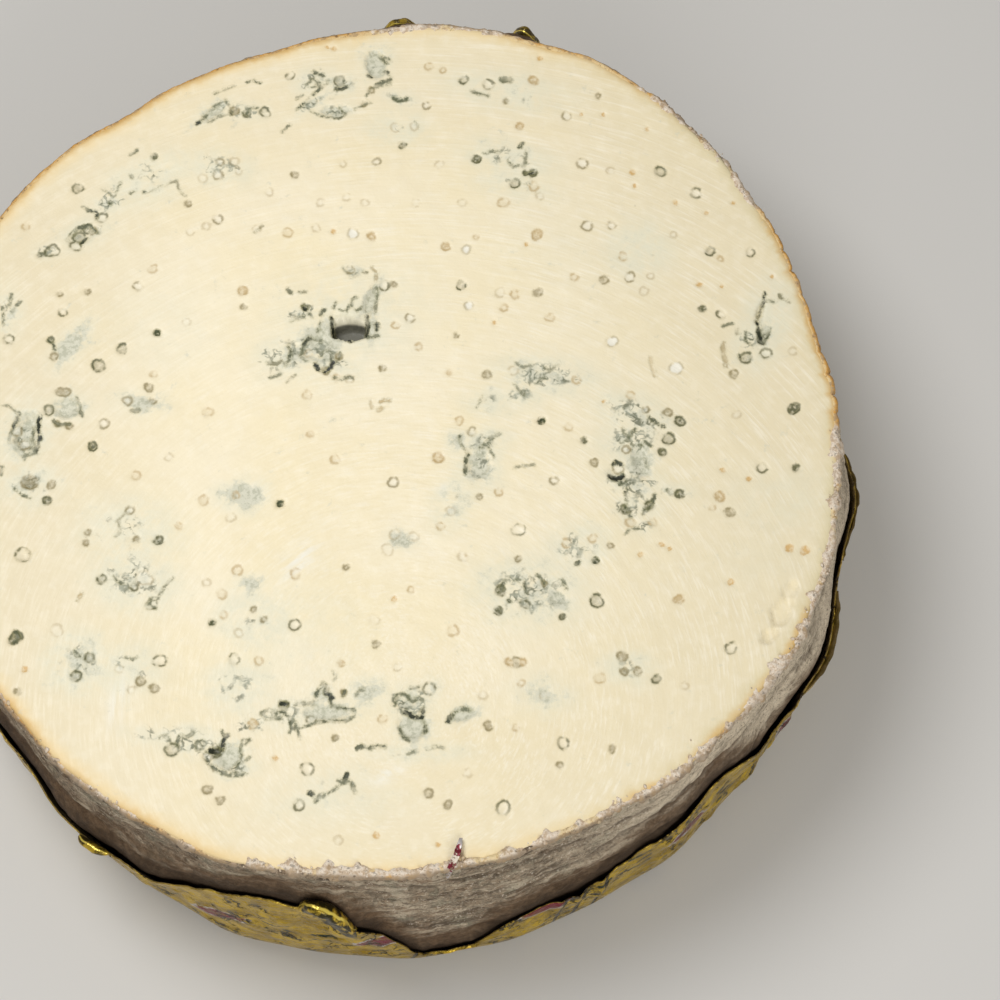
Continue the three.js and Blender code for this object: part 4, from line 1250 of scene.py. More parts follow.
def make_rim(material):
    """The rim's crust: a lumpy ring over the join of paste and rind.

    Its cross-section is an ellipse in inset and height. It is pushed out along its own normal by
    noise of several sizes and by packed grains, so that its meeting line with the paste is jagged.
    """
    angle = np.arange(RIM_COLUMNS) / RIM_COLUMNS * TURN
    around = np.arange(RIM_ROWS) / RIM_ROWS * TURN
    turn, around = np.meshgrid(angle, around)
    breadth = rim_breadth(turn)
    uneven = relief_sum(ring_points(turn, NOISE_RADIUS, 0), RIM_UNEVEN)
    breadth = np.maximum(0, breadth * (1 + uneven))
    half_width = RIM_LEAST_HALF_WIDTH + RIM_EXTRA_HALF_WIDTH * breadth
    inset = RIM_LEAST_INSET + RIM_EXTRA_INSET * breadth
    out, up = np.cos(around), np.sin(around)
    radius = cut_radius(turn) - inset + half_width * out
    tall = RIM_LEAST_TALL + RIM_EXTRA_TALL * breadth
    z = RIM_MIDDLE_HEIGHT + RIM_HALF_HEIGHT * tall * up
    points = ring_points(turn, radius, z)
    lumps = sum(depth * (grains(points, size, seed) - 0.5) for depth, size, seed in RIM_GRAINS)
    rough = RIM_LEAST_RELIEF + (1 - RIM_LEAST_RELIEF) * np.minimum(breadth, 1)
    relief = rough * (lumps + relief_sum(points, RIM_FLAKES))
    piece = tube_of_rows("rim_crust", radius + relief * out, z + relief * up, material)
    fields = {
        "breadth": breadth.ravel(),
        "amber": rim_level(RIM_AMBERS, turn).ravel(),
        "relief": relief.ravel(),
        "outward": out.ravel(),
    }
    add_values(piece, fields)
    place_piece(piece, "cheese")


CRUMB_SEED = 20816
CRUMB_TRIES = 800
CRUMB_LEAST = 0.2  # mm: radius of the smallest
CRUMB_EXTRA = 0.6
CRUMB_ROUGHNESS = 0.3
CRUMB_FLATNESS = 0.7
CRUMB_SPREAD = (0.5, 0.7)  # mm across the rim: where the crust is bare, and more where it is broad
CRUMB_LIFT = 0.1


def small_ball():
    """Points and triangles of an icosahedron of radius 1."""
    gold = (1 + math.sqrt(5)) / 2
    points = []
    for one in (-1, 1):
        for two in (-gold, gold):
            points += [(0, one, two), (one, two, 0), (two, 0, one)]
    points = np.array(points, float) / math.hypot(1, gold)
    distance = np.linalg.norm(points[:, None] - points[None], axis=-1)
    close = (distance > 0.1) & (distance < 1.2)
    faces = []
    for i, j, k in np.ndindex(12, 12, 12):
        if i < j and i < k and j != k and close[i, j] and close[j, k] and close[i, k]:
            outward = np.dot(np.cross(points[j] - points[i], points[k] - points[i]), points[i])
            if outward > 0:
                faces.append((i, j, k))
    return points, np.array(sorted({f for f in faces if f[0] == min(f)}))


def make_crumbs(material):
    """Loose crumbs along the rim: small rough lumps, thickest where the crust is broad."""
    draw = np.random.default_rng(CRUMB_SEED)
    ball, ball_faces = small_ball()
    angle = draw.uniform(0, TURN, CRUMB_TRIES)
    keep = draw.uniform(0, 1, CRUMB_TRIES) < rim_breadth(angle) ** 2
    angle = angle[keep]
    breadth = rim_breadth(angle)
    count = len(angle)
    size = CRUMB_LEAST + CRUMB_EXTRA * draw.uniform(0, 1, count) ** 3
    spread = CRUMB_SPREAD[0] + CRUMB_SPREAD[1] * breadth
    inset = RIM_EXTRA_INSET * breadth + draw.normal(0.2, spread, count)
    drop = np.where(inset > 0, 0.0, 1.2 * np.abs(inset) ** 1.3)
    z = HEIGHT + CRUMB_LIFT - drop + draw.normal(0, 0.15, count)
    middle = ring_points(angle, cut_radius(angle) - inset, z)
    stretch = draw.uniform(0.6, 1.4, (count, 1, 3)) * size[:, None, None]
    stretch[..., 2] *= CRUMB_FLATNESS
    rough = 1 + draw.uniform(-CRUMB_ROUGHNESS, CRUMB_ROUGHNESS, (count, len(ball), 1))
    points = (middle[:, None] + ball * rough * stretch).reshape(-1, 3)
    faces = (ball_faces[None] + len(ball) * np.arange(count)[:, None, None]).reshape(-1, 3)
    piece = make_piece("rim_crumbs", points, faces, None, material)
    fields = {
        "breadth": breadth,
        "amber": 0 * breadth,
        "relief": draw.uniform(-0.5, 0.6, count),
        "outward": np.clip(-inset, -1, 1),
    }
    add_values(piece, {name: np.repeat(values, len(ball)) for name, values in fields.items()})
    place_piece(piece, "cheese")


# ---- the foil ----

EDGE_HUG = 0.75  # share of the foil's looseness that goes at its torn edge
HUG_FROM = 0.7  # shares of the wall's height
CRUMPLE_FROM = 0.12
DEEPEST_CRUMPLE = 0.1  # mm inwards, so that the foil stays off the rind
FOIL_PLEATS = (  # angle, half width, stand-off
    (-68.2, 0.7, 1.3), (-65.8, 0.8, 1.6), (-62.8, 0.7, 1.3), (-31, 0.7, 1.2), (-86, 0.6, 1.0),
)
PLEAT_LEAN = -0.06  # degrees for each mm of height
PLEAT_POWER = 1.3
PLEAT_SHADE_WIDTH = 0.55  # of the pleat's half width
FOIL_CURLS = (  # angle, half width, rise above the edge, radius of the roll, its turn, and brightness: share of painted highlight and reflection over dull bronze
    (-96.3, 3.4, 13, 2.8, 230, 1),
    (-126.3, 2.2, 1, 1.7, 230, 0.8),
    (-23, 6.5, -2, 1.7, 100, 0.1),
    (-5, 7.5, -1, 0.8, 100, 0.1),
    (73, 3.2, 2, 1.6, 120, 0.7),
    (90, 3.6, 2, 1.6, 120, 0.7),
)
CURL_COLUMNS = 70
CURL_STEM_ROWS = 8
CURL_ROLL_ROWS = 26
CURL_THICKNESS = 0.35
CURL_WIDTH_SHARE = 0.98
CURL_OVERLAP = 5  # mm that a tongue reaches down below the foil's edge
CURL_TIGHTENING = 0.3  # share of its radius that a roll loses along its turn
CURL_BEND = 0.5
CURL_BEND_SIZE = 3.0
CURL_SEED = 131
CURL_CLEARANCE = 1.5  # mm from the smooth rind
BACK_GOLD = ((81, 16, 0.9), (142, 6, 0.3))  # where gold shows inside: angle, half width, share
PRINT_SPACING = 20  # degrees
PRINT_HEIGHT = 33
PRINT_LEAN = 12
PRINT_HALF_LENGTH = 9
PRINT_HALF_HEIGHT = 4.6
PRINT_DASH_PLACE = 18
PRINT_DASH_HALF_LENGTH = 4.2
PRINT_DASH_STEP = 5.0
PRINT_DASH_HALF_HEIGHT = 0.7
PRINT_DASH_REACH = 7.25  # mm above and below the row's middle
PRINT_WANDER = 2.5
FOIL_WALL_ROWS = 34
FOIL_HEEL_ROWS = 5
FOIL_HEEL_THICKNESS = 0.8
FOIL_UNDER_SHARES = (0.4, 0.8)  # of the underside's flat radius: its rows
FOIL_CRUMPLE = ((15, 1.0, 101), (7, 0.6, 103), (3.4, 0.3, 107))  # size, depth, seed
FOIL_TEETH = ((1.3, 7, 109, 2), (0.4375, 1.8, 113, 1))  # depth, size, seed, layers


def foil_crumple(angle, up):
    """Outward crumple in mm, from broad buckles down to fine creases; angle wraps round."""
    total = 0
    for size, depth, seed in FOIL_CRUMPLE:
        points = ring_points(angle, NOISE_RADIUS / size, up / size)
        bent = points + 0.4 * noise(points, 1.0, seed + 5)[..., None]
        total = total + depth * (np.abs(noise(bent, 1.0, seed)) * 1.5 - 0.35)
    return total


def foil_teeth(angle):
    """Small tears along the edge: noise of two sizes round the wheel, in mm."""
    return relief_sum(ring_points(angle, NOISE_RADIUS, 0), FOIL_TEETH)


def foil_wall(angle, share, inside):
    """Radius and height on the foil's upright wall: share 0 meets the heel, 1 the torn edge."""
    edge = foil_edge_height(angle) + foil_teeth(angle)
    edge = np.maximum(edge, HEEL_TOP + FOIL_LEAST_WALL)
    z = HEEL_TOP + share * (edge - HEEL_TOP)
    lean = FOLD_TWIST * share + 2 * np.sin(3 * angle)
    folds = FOLD_DEPTH * share * (0.5 + 0.5 * np.sin(FOLD_COUNT * angle + lean))
    crumple = foil_crumple(angle, z) * smooth_step(0, CRUMPLE_FROM, share)
    hug = 1 - EDGE_HUG * smooth_step(HUG_FROM, 1.0, share)
    loose = (folds + np.maximum(crumple, -DEEPEST_CRUMPLE)) * hug
    radius = side_radius(angle, z) + FOIL_OUTER + loose + pleats(angle, z)[0] * share
    radius = radius + foil_stand_off(angle) * share**2
    return radius - (FOIL_THICKNESS if inside else 0), z


def pleats(angle, z):
    """Pinched pleats that lean as they rise: how far each stands out in mm, and the line beside it
    for painted shade.
    """
    height = 0 * angle
    line = 0 * angle
    for centre, half_width, stand_off in FOIL_PLEATS:
        turn = turn_between(angle, centre) + math.radians(PLEAT_LEAN) * (z - PRINT_HEIGHT)
        width = math.radians(half_width)
        height = height + stand_off * np.exp(-np.abs(turn / width) ** PLEAT_POWER)
        beside = (turn - width) / (PLEAT_SHADE_WIDTH * width)
        line = np.maximum(line, np.exp(-(beside**2)))
    return height, line


def foil_print(angle, z):
    """Plain marks round the foil: ovals leaning one way, and three dashes between them.

    The first value is below 0 inside an oval and the second inside a dash. Each is the distance
    from the mark's middle in half widths, less 1, repeated at even turns.
    """
    turn = np.degrees(angle) % PRINT_SPACING - PRINT_SPACING / 2
    across = np.radians(turn) * CUT_RADIUS
    up = z - PRINT_HEIGHT - PRINT_WANDER * np.sin(3 * angle)
    lean = math.radians(PRINT_LEAN)
    along = across * math.cos(lean) + up * math.sin(lean)
    aside = up * math.cos(lean) - across * math.sin(lean)
    oval = np.hypot(along / PRINT_HALF_LENGTH, aside / PRINT_HALF_HEIGHT) - 1
    dash_across = np.abs(np.abs(across) - PRINT_DASH_PLACE) - PRINT_DASH_HALF_LENGTH
    dash_up = np.abs((up + 1.5 * PRINT_DASH_STEP) % PRINT_DASH_STEP - PRINT_DASH_STEP / 2)
    beyond = np.abs(up) - PRINT_DASH_REACH
    return oval, np.maximum.reduce([dash_across, dash_up - PRINT_DASH_HALF_HEIGHT, beyond])


def foil_rows(angle, inside):
    """Radius and height of each row of one face, from the underside's middle to the torn edge."""
    offset = FOIL_GAP if inside else FOIL_GAP + FOIL_HEEL_THICKNESS
    radius, z = heel_point(angle, 0, offset)
    rows = [(share * radius, z) for share in FOIL_UNDER_SHARES]
    for step in range(FOIL_HEEL_ROWS):
        rows.append(heel_point(angle, 90 * step / FOIL_HEEL_ROWS, offset))
    for share in np.arange(FOIL_WALL_ROWS + 1) / FOIL_WALL_ROWS:
        rows.append(foil_wall(angle, share + 0 * angle, inside))
    return rows


def make_foil(material):
    """The foil cup: its outer face up to the torn edge, and its inner face down again."""
    angle = np.arange(FOIL_COLUMNS) / FOIL_COLUMNS * TURN
    rows = foil_rows(angle, False) + foil_rows(angle, True)[::-1]
    radius = np.stack([r for r, _ in rows])
    z = np.stack([h for _, h in rows])
    piece = shell_of_rows("foil_wrap", radius, z, material)
    turn = np.broadcast_to(angle, radius.shape)
    inner = np.repeat([0.0, 1.0], len(rows) // 2)[:, None] * (1 - humps(BACK_GOLD, turn))
    oval, dash = foil_print(turn, z)
    fields = {
        "inner": inner.ravel(),
        "oval": oval.ravel(),
        "dash": dash.ravel(),
        "pleat": pleats(turn, z)[1].ravel(),
    }
    add_values(piece, fields, POLES)
    place_piece(piece, "foil")


def curl_rows(angle, size, rise, roll, roll_turn):
    """Radius and height of each row of a tongue: up to its top, then outwards on a circle."""
    edge = foil_edge_height(angle)
    top = edge + rise * size
    rows = []
    for step in np.linspace(0, 1, CURL_STEM_ROWS)[:-1]:
        z = (edge - CURL_OVERLAP) * (1 - step) + top * step
        rows.append((stem_radius(angle, z), z))
    middle = stem_radius(angle, top) + roll * size
    for step in np.linspace(0, 1, CURL_ROLL_ROWS):
        arc = math.radians(roll_turn) * step
        reach = roll * size * (1 - CURL_TIGHTENING * step)
        rows.append((middle - reach * math.cos(arc), top + reach * math.sin(arc)))
    return np.stack([r for r, _ in rows]), np.stack([h for _, h in rows])


def make_curls(material):
    """Tongues of foil at the torn edge, each rolled or turned outwards at its top.

    Rise and roll shrink to both sides of the tongue as the root of 1 - share ** 2.
    """
    for number, (centre, half_width, rise, roll, roll_turn, bright) in enumerate(FOIL_CURLS):
        share = np.linspace(-CURL_WIDTH_SHARE, CURL_WIDTH_SHARE, CURL_COLUMNS)
        angle = np.radians(centre + half_width * share)
        radius, z = curl_rows(angle, np.sqrt(1 - share**2), rise, roll, roll_turn)
        turn = np.broadcast_to(angle, radius.shape)
        grid = ring_points(turn, radius, z)
        bend = CURL_BEND * noise(grid, CURL_BEND_SIZE, CURL_SEED)
        grid = grid + bend[..., None] * ring_points(turn, 1, 0)
        piece = thin_sheet(f"foil_curl_{number + 1}", grid, CURL_THICKNESS, material)
        roll_share = np.linspace(0, 1, len(radius))[:, None] + 0 * turn
        fields = {
            "roll": np.tile(roll_share.ravel(), 2),
            "bright": np.full(2 * roll_share.size, float(bright)),
        }
        add_values(piece, fields)
        place_piece(piece, "foil")


def stem_radius(angle, z):
    """Radius of a tongue's upright part: on the foil's outer face, and above it beside the rind."""
    edge = foil_edge_height(angle)
    share = np.clip((z - HEEL_TOP) / (edge - HEEL_TOP), 0, 1)
    on_foil = foil_wall(angle, share, False)[0] + CURL_THICKNESS / 2
    beside_rind = side_radius(angle, z) + rind_bulge(angle, z) + CURL_CLEARANCE
    return beside_rind + (on_foil - beside_rind) * smooth_step(3, -1, z - edge)


# A scrap of foil that hangs over the front of the rim: pixels and height of its middle line.
SCRAP_LINE = (
    (461, 838, 88.6), (459.5, 846, 89.4), (457, 854, 89.8), (453, 862, 89.0), (450, 870, 87.6),
    (447, 878, 83.0),
)
SCRAP_HALF_WIDTH = 0.9
SCRAP_THICKNESS = 0.25
SCRAP_BEND = (0.33, 0.165, 0.55)  # along x, y and z
SCRAP_BEND_SIZE = 2.0
SCRAP_SEED = 137
SCRAP_ROWS = 40
SCRAP_COLUMNS = 9


def make_scrap(material):
    """The scrap: a narrow strip along its middle line, bent and crumpled by noise."""
    line = np.array([[*face_place((x, y), z), z] for x, y, z in SCRAP_LINE])
    share = np.linspace(0, 1, SCRAP_ROWS)
    knots = np.linspace(0, 1, len(line))
    middle = np.stack([np.interp(share, knots, line[:, axis]) for axis in range(3)], axis=-1)
    along = np.gradient(middle, axis=0)
    aside = np.cross(along, [0, 0, 1])
    aside /= np.linalg.norm(aside, axis=-1, keepdims=True)
    across = np.linspace(-1, 1, SCRAP_COLUMNS)
    width = SCRAP_HALF_WIDTH * (0.45 + 0.75 * np.sin(share * math.pi) ** 0.7)
    grid = middle[:, None] + (width[:, None] * across)[..., None] * aside[:, None]
    grid = grid + noise(grid, SCRAP_BEND_SIZE, SCRAP_SEED)[..., None] * np.array(SCRAP_BEND)
    piece = thin_sheet("foil_scrap", grid, SCRAP_THICKNESS, material)
    add_values(piece, {"along": np.tile(np.repeat(share, SCRAP_COLUMNS), 2)})
    place_piece(piece, "foil")


# ---- materials ----


def srgb(red, green, blue):
    """Linear colour from 0 to 255 screen values."""
    shares = np.array([red, green, blue]) / 255
    linear = np.where(shares <= 0.04045, shares / 12.92, ((shares + 0.055) / 1.055) ** 2.4)
    return (*linear, 1.0)


class Finish:
    """A material's node tree, with short calls for the nodes that the finishes share."""

    def __init__(self, name):
        self.material = bpy.data.materials.new(name)
        self.material.use_nodes = True
        self.tree = self.material.node_tree
        self.shader = self.tree.nodes["Principled BSDF"]
        self.place = self.node("ShaderNodeTexCoord").outputs["Object"]

    def node(self, kind, **settings):
        made = self.tree.nodes.new(kind)
        for key, value in settings.items():
            setattr(made, key, value)
        return made

    def feed(self, socket, value):
        if isinstance(value, bpy.types.NodeSocket):
            self.tree.links.new(value, socket)
        else:
            socket.default_value = value

    def math(self, operation, a, b=0.0, clamp=False):
        made = self.node("ShaderNodeMath", operation=operation, use_clamp=clamp)
        self.feed(made.inputs[0], a)
        self.feed(made.inputs[1], b)
        return made.outputs[0]

    def step(self, value, start, end, to=1.0, at_start=0.0):
        """Smooth change from at_start to to as value goes from start to end."""
        made = self.node("ShaderNodeMapRange", interpolation_type="SMOOTHSTEP")
        for socket, number in zip(made.inputs, (value, start, end, at_start, to)):
            self.feed(socket, number)
        return made.outputs[0]

    def mix(self, share, one, other):
        made = self.node("ShaderNodeMix", data_type="RGBA")
        self.feed(made.inputs[0], share)
        self.feed(made.inputs[6], one)
        self.feed(made.inputs[7], other)
        return made.outputs[2]

    def times(self, a, b, clamp=False):
        return self.math("MULTIPLY", a, b, clamp)

    def plus(self, a, b):
        return self.math("ADD", a, b)

    def centred(self, value, span):
        """Moves a value that runs from 0 to 1 so that it runs from -span / 2 to span / 2."""
        return self.times(self.math("SUBTRACT", value, 0.5), span)

    def parts(self, vector):
        split = self.node("ShaderNodeSeparateXYZ")
        self.feed(split.inputs[0], vector)
        return split.outputs

    def noise_node(self, size_mm, detail=3.0, roughness=0.5, place=None, unit=MM):
        made = self.node("ShaderNodeTexNoise")
        self.feed(made.inputs["Vector"], place or self.place)
        self.feed(made.inputs["Scale"], 1 / (size_mm * unit))
        self.feed(made.inputs["Detail"], detail)
        self.feed(made.inputs["Roughness"], roughness)
        return made

    def noise(self, *settings):
        """Noise from 0 to 1: its size, detail, roughness, the place it is read at, and its unit."""
        return self.noise_node(*settings).outputs[0]

    def roughened(self, value, span, *noise):
        """The value with noise added to it, spread over that span."""
        return self.plus(value, self.centred(self.noise(*noise), span))

    def cells(self, size_mm, place, feature="F1"):
        """Distance to the nearest of points strewn that far apart, or with F2 to the second."""
        made = self.node("ShaderNodeTexVoronoi", feature=feature)
        self.feed(made.inputs["Vector"], place)
        self.feed(made.inputs["Scale"], 1 / (size_mm * MM))
        return made.outputs["Distance"]

    def stored(self, name):
        return self.node("ShaderNodeAttribute", attribute_name=name)

    def number(self, name):
        return self.stored(name).outputs["Fac"]

    def three(self, name):
        return self.parts(self.stored(name).outputs["Vector"])

    def vector_math(self, operation, a, b):
        made = self.node("ShaderNodeVectorMath", operation=operation)
        self.feed(made.inputs[0], a)
        self.feed(made.inputs["Scale" if operation == "SCALE" else 1], b)
        return made.outputs[0]

    def warped(self, size_mm, reach_mm):
        """The place moved about by noise of that size, by up to that reach each way."""
        shift = self.noise_node(size_mm).outputs[1]
        shift = self.vector_math("SUBTRACT", shift, (0.5, 0.5, 0.5))
        shift = self.vector_math("SCALE", shift, reach_mm * MM * 2)
        return self.vector_math("ADD", self.place, shift)

    def bump(self, height, distance_mm, strength):
        made = self.node("ShaderNodeBump")
        self.feed(made.inputs["Strength"], strength)
        self.feed(made.inputs["Distance"], distance_mm * MM)
        self.feed(made.inputs["Height"], height)
        self.feed(self.shader.inputs["Normal"], made.outputs[0])

    def finish(self, colour, roughness, metallic=0.0, specular=0.5):
        self.feed(self.shader.inputs["Base Color"], colour)
        self.feed(self.shader.inputs["Roughness"], roughness)
        self.feed(self.shader.inputs["Metallic"], metallic)
        self.shader.inputs["Specular IOR Level"].default_value = specular
        return self.material


CREAM = srgb(249, 237, 206)
CREAM_WARM = srgb(247, 233, 196)
CREAM_RIGHT_PAINTED_SHADE = srgb(239, 227, 194)
CREAM_RIM_PAINTED_SHADE = srgb(236, 222, 187)
CREAM_LEFT_PAINTED_SHADE = srgb(228, 215, 182)
CREAM_PALE_AND_PAINTED_SHEEN = srgb(254, 246, 224)
STREAK_PAINTED_SHADE = srgb(236, 221, 180)
RIM_ORANGE = srgb(222, 182, 112)
RIM_YELLOW = srgb(242, 217, 164)
RIM_OLIVE = srgb(222, 208, 166)
MOULD_BLACK = srgb(42, 46, 32)
MOULD_DARK = srgb(82, 88, 60)
MOULD_OLIVE = srgb(152, 148, 104)
MOULD_GREY = srgb(150, 154, 134)
EYE_TAN = srgb(190, 158, 98)
PIT_AMBER = srgb(206, 156, 62)
FILL_GREY = srgb(216, 214, 193)
FILL_SHADE = srgb(186, 186, 163)
HALO_GREY = srgb(233, 229, 204)
SMEAR_WHITE = srgb(247, 243, 228)
HOLE_MOULD_AND_PAINTED_SHADE = srgb(114, 112, 100)
HOLE_PAINTED_LIGHT = srgb(240, 233, 208)
SHELF_HEIGHTS = (HEIGHT - 4.2, HEIGHT - 2.7)  # the hole is painted dark below the first, as shade and mould, and painted pale as lit above both


def cream_colour(f, split):
    """Warm and pale cream, with the knife's fine drag marks in painted sheen and shade, painted shade
    towards the sides and the rim, and a browner band at the rim.
    """
    inset = f.number("inset")
    cream = f.mix(f.step(f.noise(45, 2), 0.35, 0.65), CREAM, CREAM_WARM)
    # Painted shade: the cream grows darker towards the right, the far left and the rim, and yellower
    # at the right.
    cream = f.mix(f.step(split[0], 0.0, 0.14), cream, CREAM_RIGHT_PAINTED_SHADE)
    cream = f.mix(f.step(split[0], -0.05, -0.13, 0.8), cream, CREAM_LEFT_PAINTED_SHADE)
    cream = f.mix(f.step(inset, 80, 8, 0.55), cream, CREAM_RIM_PAINTED_SHADE)
    # Pale patches at random.
    cream = f.mix(f.step(f.noise(4, 3), 0.45, 0.7, 0.2), cream, CREAM_PALE_AND_PAINTED_SHEEN)
    drag = f.stored("drag").outputs["Vector"]
    streaks = f.noise(0.8, 3, 0.6, drag, 1.0)
    gate = f.step(f.noise(16, 2), 0.3, 0.6, 1.0, 0.2)
    gate = f.times(gate, f.step(split[0], -0.09, 0.05, 1.0, 0.35))
    # Painted sheen on the drag marks where their noise is high, and painted shade where it is low,
    # stronger at the right.
    light = f.times(f.step(streaks, 0.5, 0.68, 0.5), gate)
    shade = f.times(f.step(streaks, 0.48, 0.3, 0.35), gate)
    cream = f.mix(light, cream, CREAM_PALE_AND_PAINTED_SHEEN)
    cream = f.mix(shade, cream, STREAK_PAINTED_SHADE)
    smeared = f.times(f.number("smear"), f.step(f.noise(3, 4, 0.6, drag, 1.0), 0.35, 0.6))
    cream = f.mix(smeared, cream, SMEAR_WHITE)
    band = f.roughened(inset, 7.0, 8, 4, 0.6)
    share = f.times(f.step(band, 7.0, 0.0, 0.8), f.step(inset, 11.0, 3.0))
    cream = f.mix(share, cream, f.mix(f.step(split[0], 0.02, 0.12), RIM_YELLOW, RIM_OLIVE))
    thin = f.roughened(inset, 3.0, 4, 3, 0.6)
    share = f.times(f.step(thin, 3.4, 0.2, 0.95), f.step(f.number("amber"), 0.1, 0.9))
    return f.mix(share, cream, RIM_ORANGE), streaks


def mould_colour(f, cream):
    """Pale halo, ragged blue-grey filling and broken curved veins."""
    fill, veins, halo = f.three("mould")
    ragged = f.noise(4.5, 5, 0.65)
    fine = f.noise(1.5, 3, 0.6)
    halo_share = f.times(f.step(halo, 0.05, 0.8), f.step(ragged, 0.3, 0.62, 0.85, 0.2))
    colour = f.mix(halo_share, cream, HALO_GREY)
    level = f.plus(f.plus(fill, f.centred(ragged, 1.7)), f.centred(fine, 0.5))
    filling = f.mix(f.step(fine, 0.58, 0.38), FILL_GREY, FILL_SHADE)
    colour = f.mix(f.step(level, 0.2, 0.6, 0.9), colour, filling)

    place = f.warped(3.2, 1.3)
    lines = []
    for size, wide in ((5.2, 0.07), (3.4, 0.085)):
        contour = f.math("ABSOLUTE", f.centred(f.noise(size, 2, 0.5, place), 1.0))
        lines.append(f.step(contour, wide, 0.015))
    loops = f.cells(5.0, place)
    loop_size = f.step(f.noise(7, 1), 0.3, 0.7, 0.36, 0.2)
    lines.append(f.step(f.math("ABSOLUTE", f.math("SUBTRACT", loops, loop_size)), 0.13, 0.03))
    line = f.math("MAXIMUM", f.math("MAXIMUM", lines[0], lines[1]), lines[2])
    broken = f.step(f.noise(3.4, 2), 0.45, 0.56)
    vein_level = f.roughened(veins, 1.3, 5.0, 3)
    line = f.times(f.times(line, broken), f.step(vein_level, 0.3, 0.6))
    vein_colour = f.mix(f.step(f.noise(3.0, 2), 0.38, 0.62), MOULD_DARK, MOULD_GREY)
    return f.mix(f.times(line, 0.8), colour, vein_colour)


def mark_colour(f, base, soft, hard, rim, core):
    """A mark with a paler soft margin round a darker core."""
    return f.mix(hard, f.mix(f.times(soft, 0.55), base, rim), core)


def eye_colour(f, colour):
    """Eyes: a pale or dark inside, and an uneven ring."""
    eye_line = f.roughened(f.number("eye_line"), 1.1, 1.6, 3, 0.6)
    ring, inside, tan = f.three("eye_look")
    off_ring = f.math("ABSOLUTE", eye_line)
    strength = f.times(ring, f.step(f.noise(2.6, 1), 0.36, 0.56, 1.0, 0.15))
    soft = f.times(f.step(off_ring, 0.95, 0.25), strength, True)
    hard = f.times(f.step(off_ring, 0.6, 0.05), strength, True)
    pale = f.times(f.step(eye_line, 0.2, -0.6), f.times(inside, -1.0), True)
    colour = f.mix(pale, colour, SMEAR_WHITE)
    filled = f.times(f.step(eye_line, 0.4, -0.3), inside, True)
    filled = f.times(filled, f.step(f.noise(1.3, 2), 0.35, 0.6, 1.0, 0.45))
    rim = f.mix(tan, MOULD_OLIVE, EYE_TAN)
    core = f.mix(f.step(tan, 0.0, 1.0), MOULD_DARK, EYE_TAN)
    core = f.mix(f.step(tan, 1.1, 1.5), core, PIT_AMBER)
    return mark_colour(f, f.mix(filled, colour, core), soft, hard, rim, core)


def stroke_colour(f, colour):
    """Ragged dark strokes and blots."""
    dark, tan, _ = f.three("stroke_look")
    line = f.roughened(f.number("stroke_line"), 2.4, 2.2, 4, 0.7)
    strength = f.times(dark, f.step(f.noise(4.0, 2), 0.3, 0.55, 0.88, 0.3))
    soft = f.times(f.step(line, 0.75, 0.0), strength, True)
    hard = f.times(f.step(line, 0.25, -0.25), strength, True)
    black = f.mix(f.step(dark, 0.9, 1.25), MOULD_DARK, MOULD_BLACK)
    core = f.mix(f.step(tan, 0.2, 1.0), black, EYE_TAN)
    return mark_colour(f, colour, soft, hard, MOULD_OLIVE, core)


def paste_finish():
    """Cream paste with eyes, strokes and patches of mould, and the knife's drag marks."""
    f = Finish("paste")
    split = f.parts(f.place)
    cream, streaks = cream_colour(f, split)
    colour = eye_colour(f, mould_colour(f, cream))
    # Painted shade and light in the large hole: dark low down, pale higher up.
    shelf = f.step(split[2], *(height * MM for height in SHELF_HEIGHTS))
    hole = f.mix(shelf, HOLE_MOULD_AND_PAINTED_SHADE, HOLE_PAINTED_LIGHT)
    colour = f.mix(f.step(f.number("hole"), 0.25, 0.7), colour, hole)
    colour = stroke_colour(f, colour)
    groove = f.step(f.number("stroke_line"), 0.4, -0.4, -0.6)
    height = f.plus(f.plus(groove, f.times(streaks, 0.4)), f.times(f.noise(1.3, 3, 0.65), 0.35))
    f.bump(height, 0.35, 0.6)
    return f.finish(colour, f.step(streaks, 0.3, 0.7, 0.4, 0.52), specular=0.4)


RIND_BROWN = srgb(146, 126, 102)
RIND_BEIGE = srgb(220, 204, 178)
RIND_DARK = srgb(72, 58, 44)
RIND_FOOT_STAIN_AND_SHADE = srgb(92, 70, 48)
DEEP_PAINTED_SHADE = srgb(50, 36, 22)
RIND_GREY = srgb(122, 110, 92)
RIND_GREEN = srgb(120, 118, 98)
RIND_TAN = srgb(132, 106, 80)
RIND_FLECK = srgb(232, 220, 202)


def rind_base(f, mottle, broad):
    """Grey-brown, green-grey and tan blotches with streaks, paler to the right, and painted shade
    where the relief sinks in.
    """
    blotch = f.noise(9, 4, 0.65)
    base = f.mix(f.step(mottle, 0.38, 0.6), RIND_GREY, RIND_BROWN)
    base = f.mix(f.step(blotch, 0.47, 0.38, 0.6), base, RIND_GREEN)
    base = f.mix(f.step(blotch, 0.54, 0.66, 0.7), base, RIND_TAN)
    pale = f.number("paleness")
    base = f.mix(f.times(pale, f.step(mottle, 0.25, 0.6, 1.0, 0.6)), base, RIND_BEIGE)
    fine = f.noise(1.3, 3, 0.6, f.stored("flow").outputs["Vector"], 1.0)
    streaky = f.step(pale, 0.6, 0.1, 0.85, 0.4)
    dark = f.math("MAXIMUM", f.step(broad, 0.48, 0.37), f.step(fine, 0.44, 0.32, 0.8))
    light = f.math("MAXIMUM", f.step(broad, 0.54, 0.64), f.step(fine, 0.57, 0.68, 0.8))
    base = f.mix(f.times(dark, f.times(streaky, 0.85)), base, RIND_DARK)
    base = f.mix(f.times(light, f.times(streaky, 0.6)), base, RIND_BEIGE)
    # Painted shade: darker where the relief sinks in, in pits and grooves.
    return f.mix(f.step(f.number("relief"), -0.5, -1.6, 0.8), base, RIND_DARK), fine


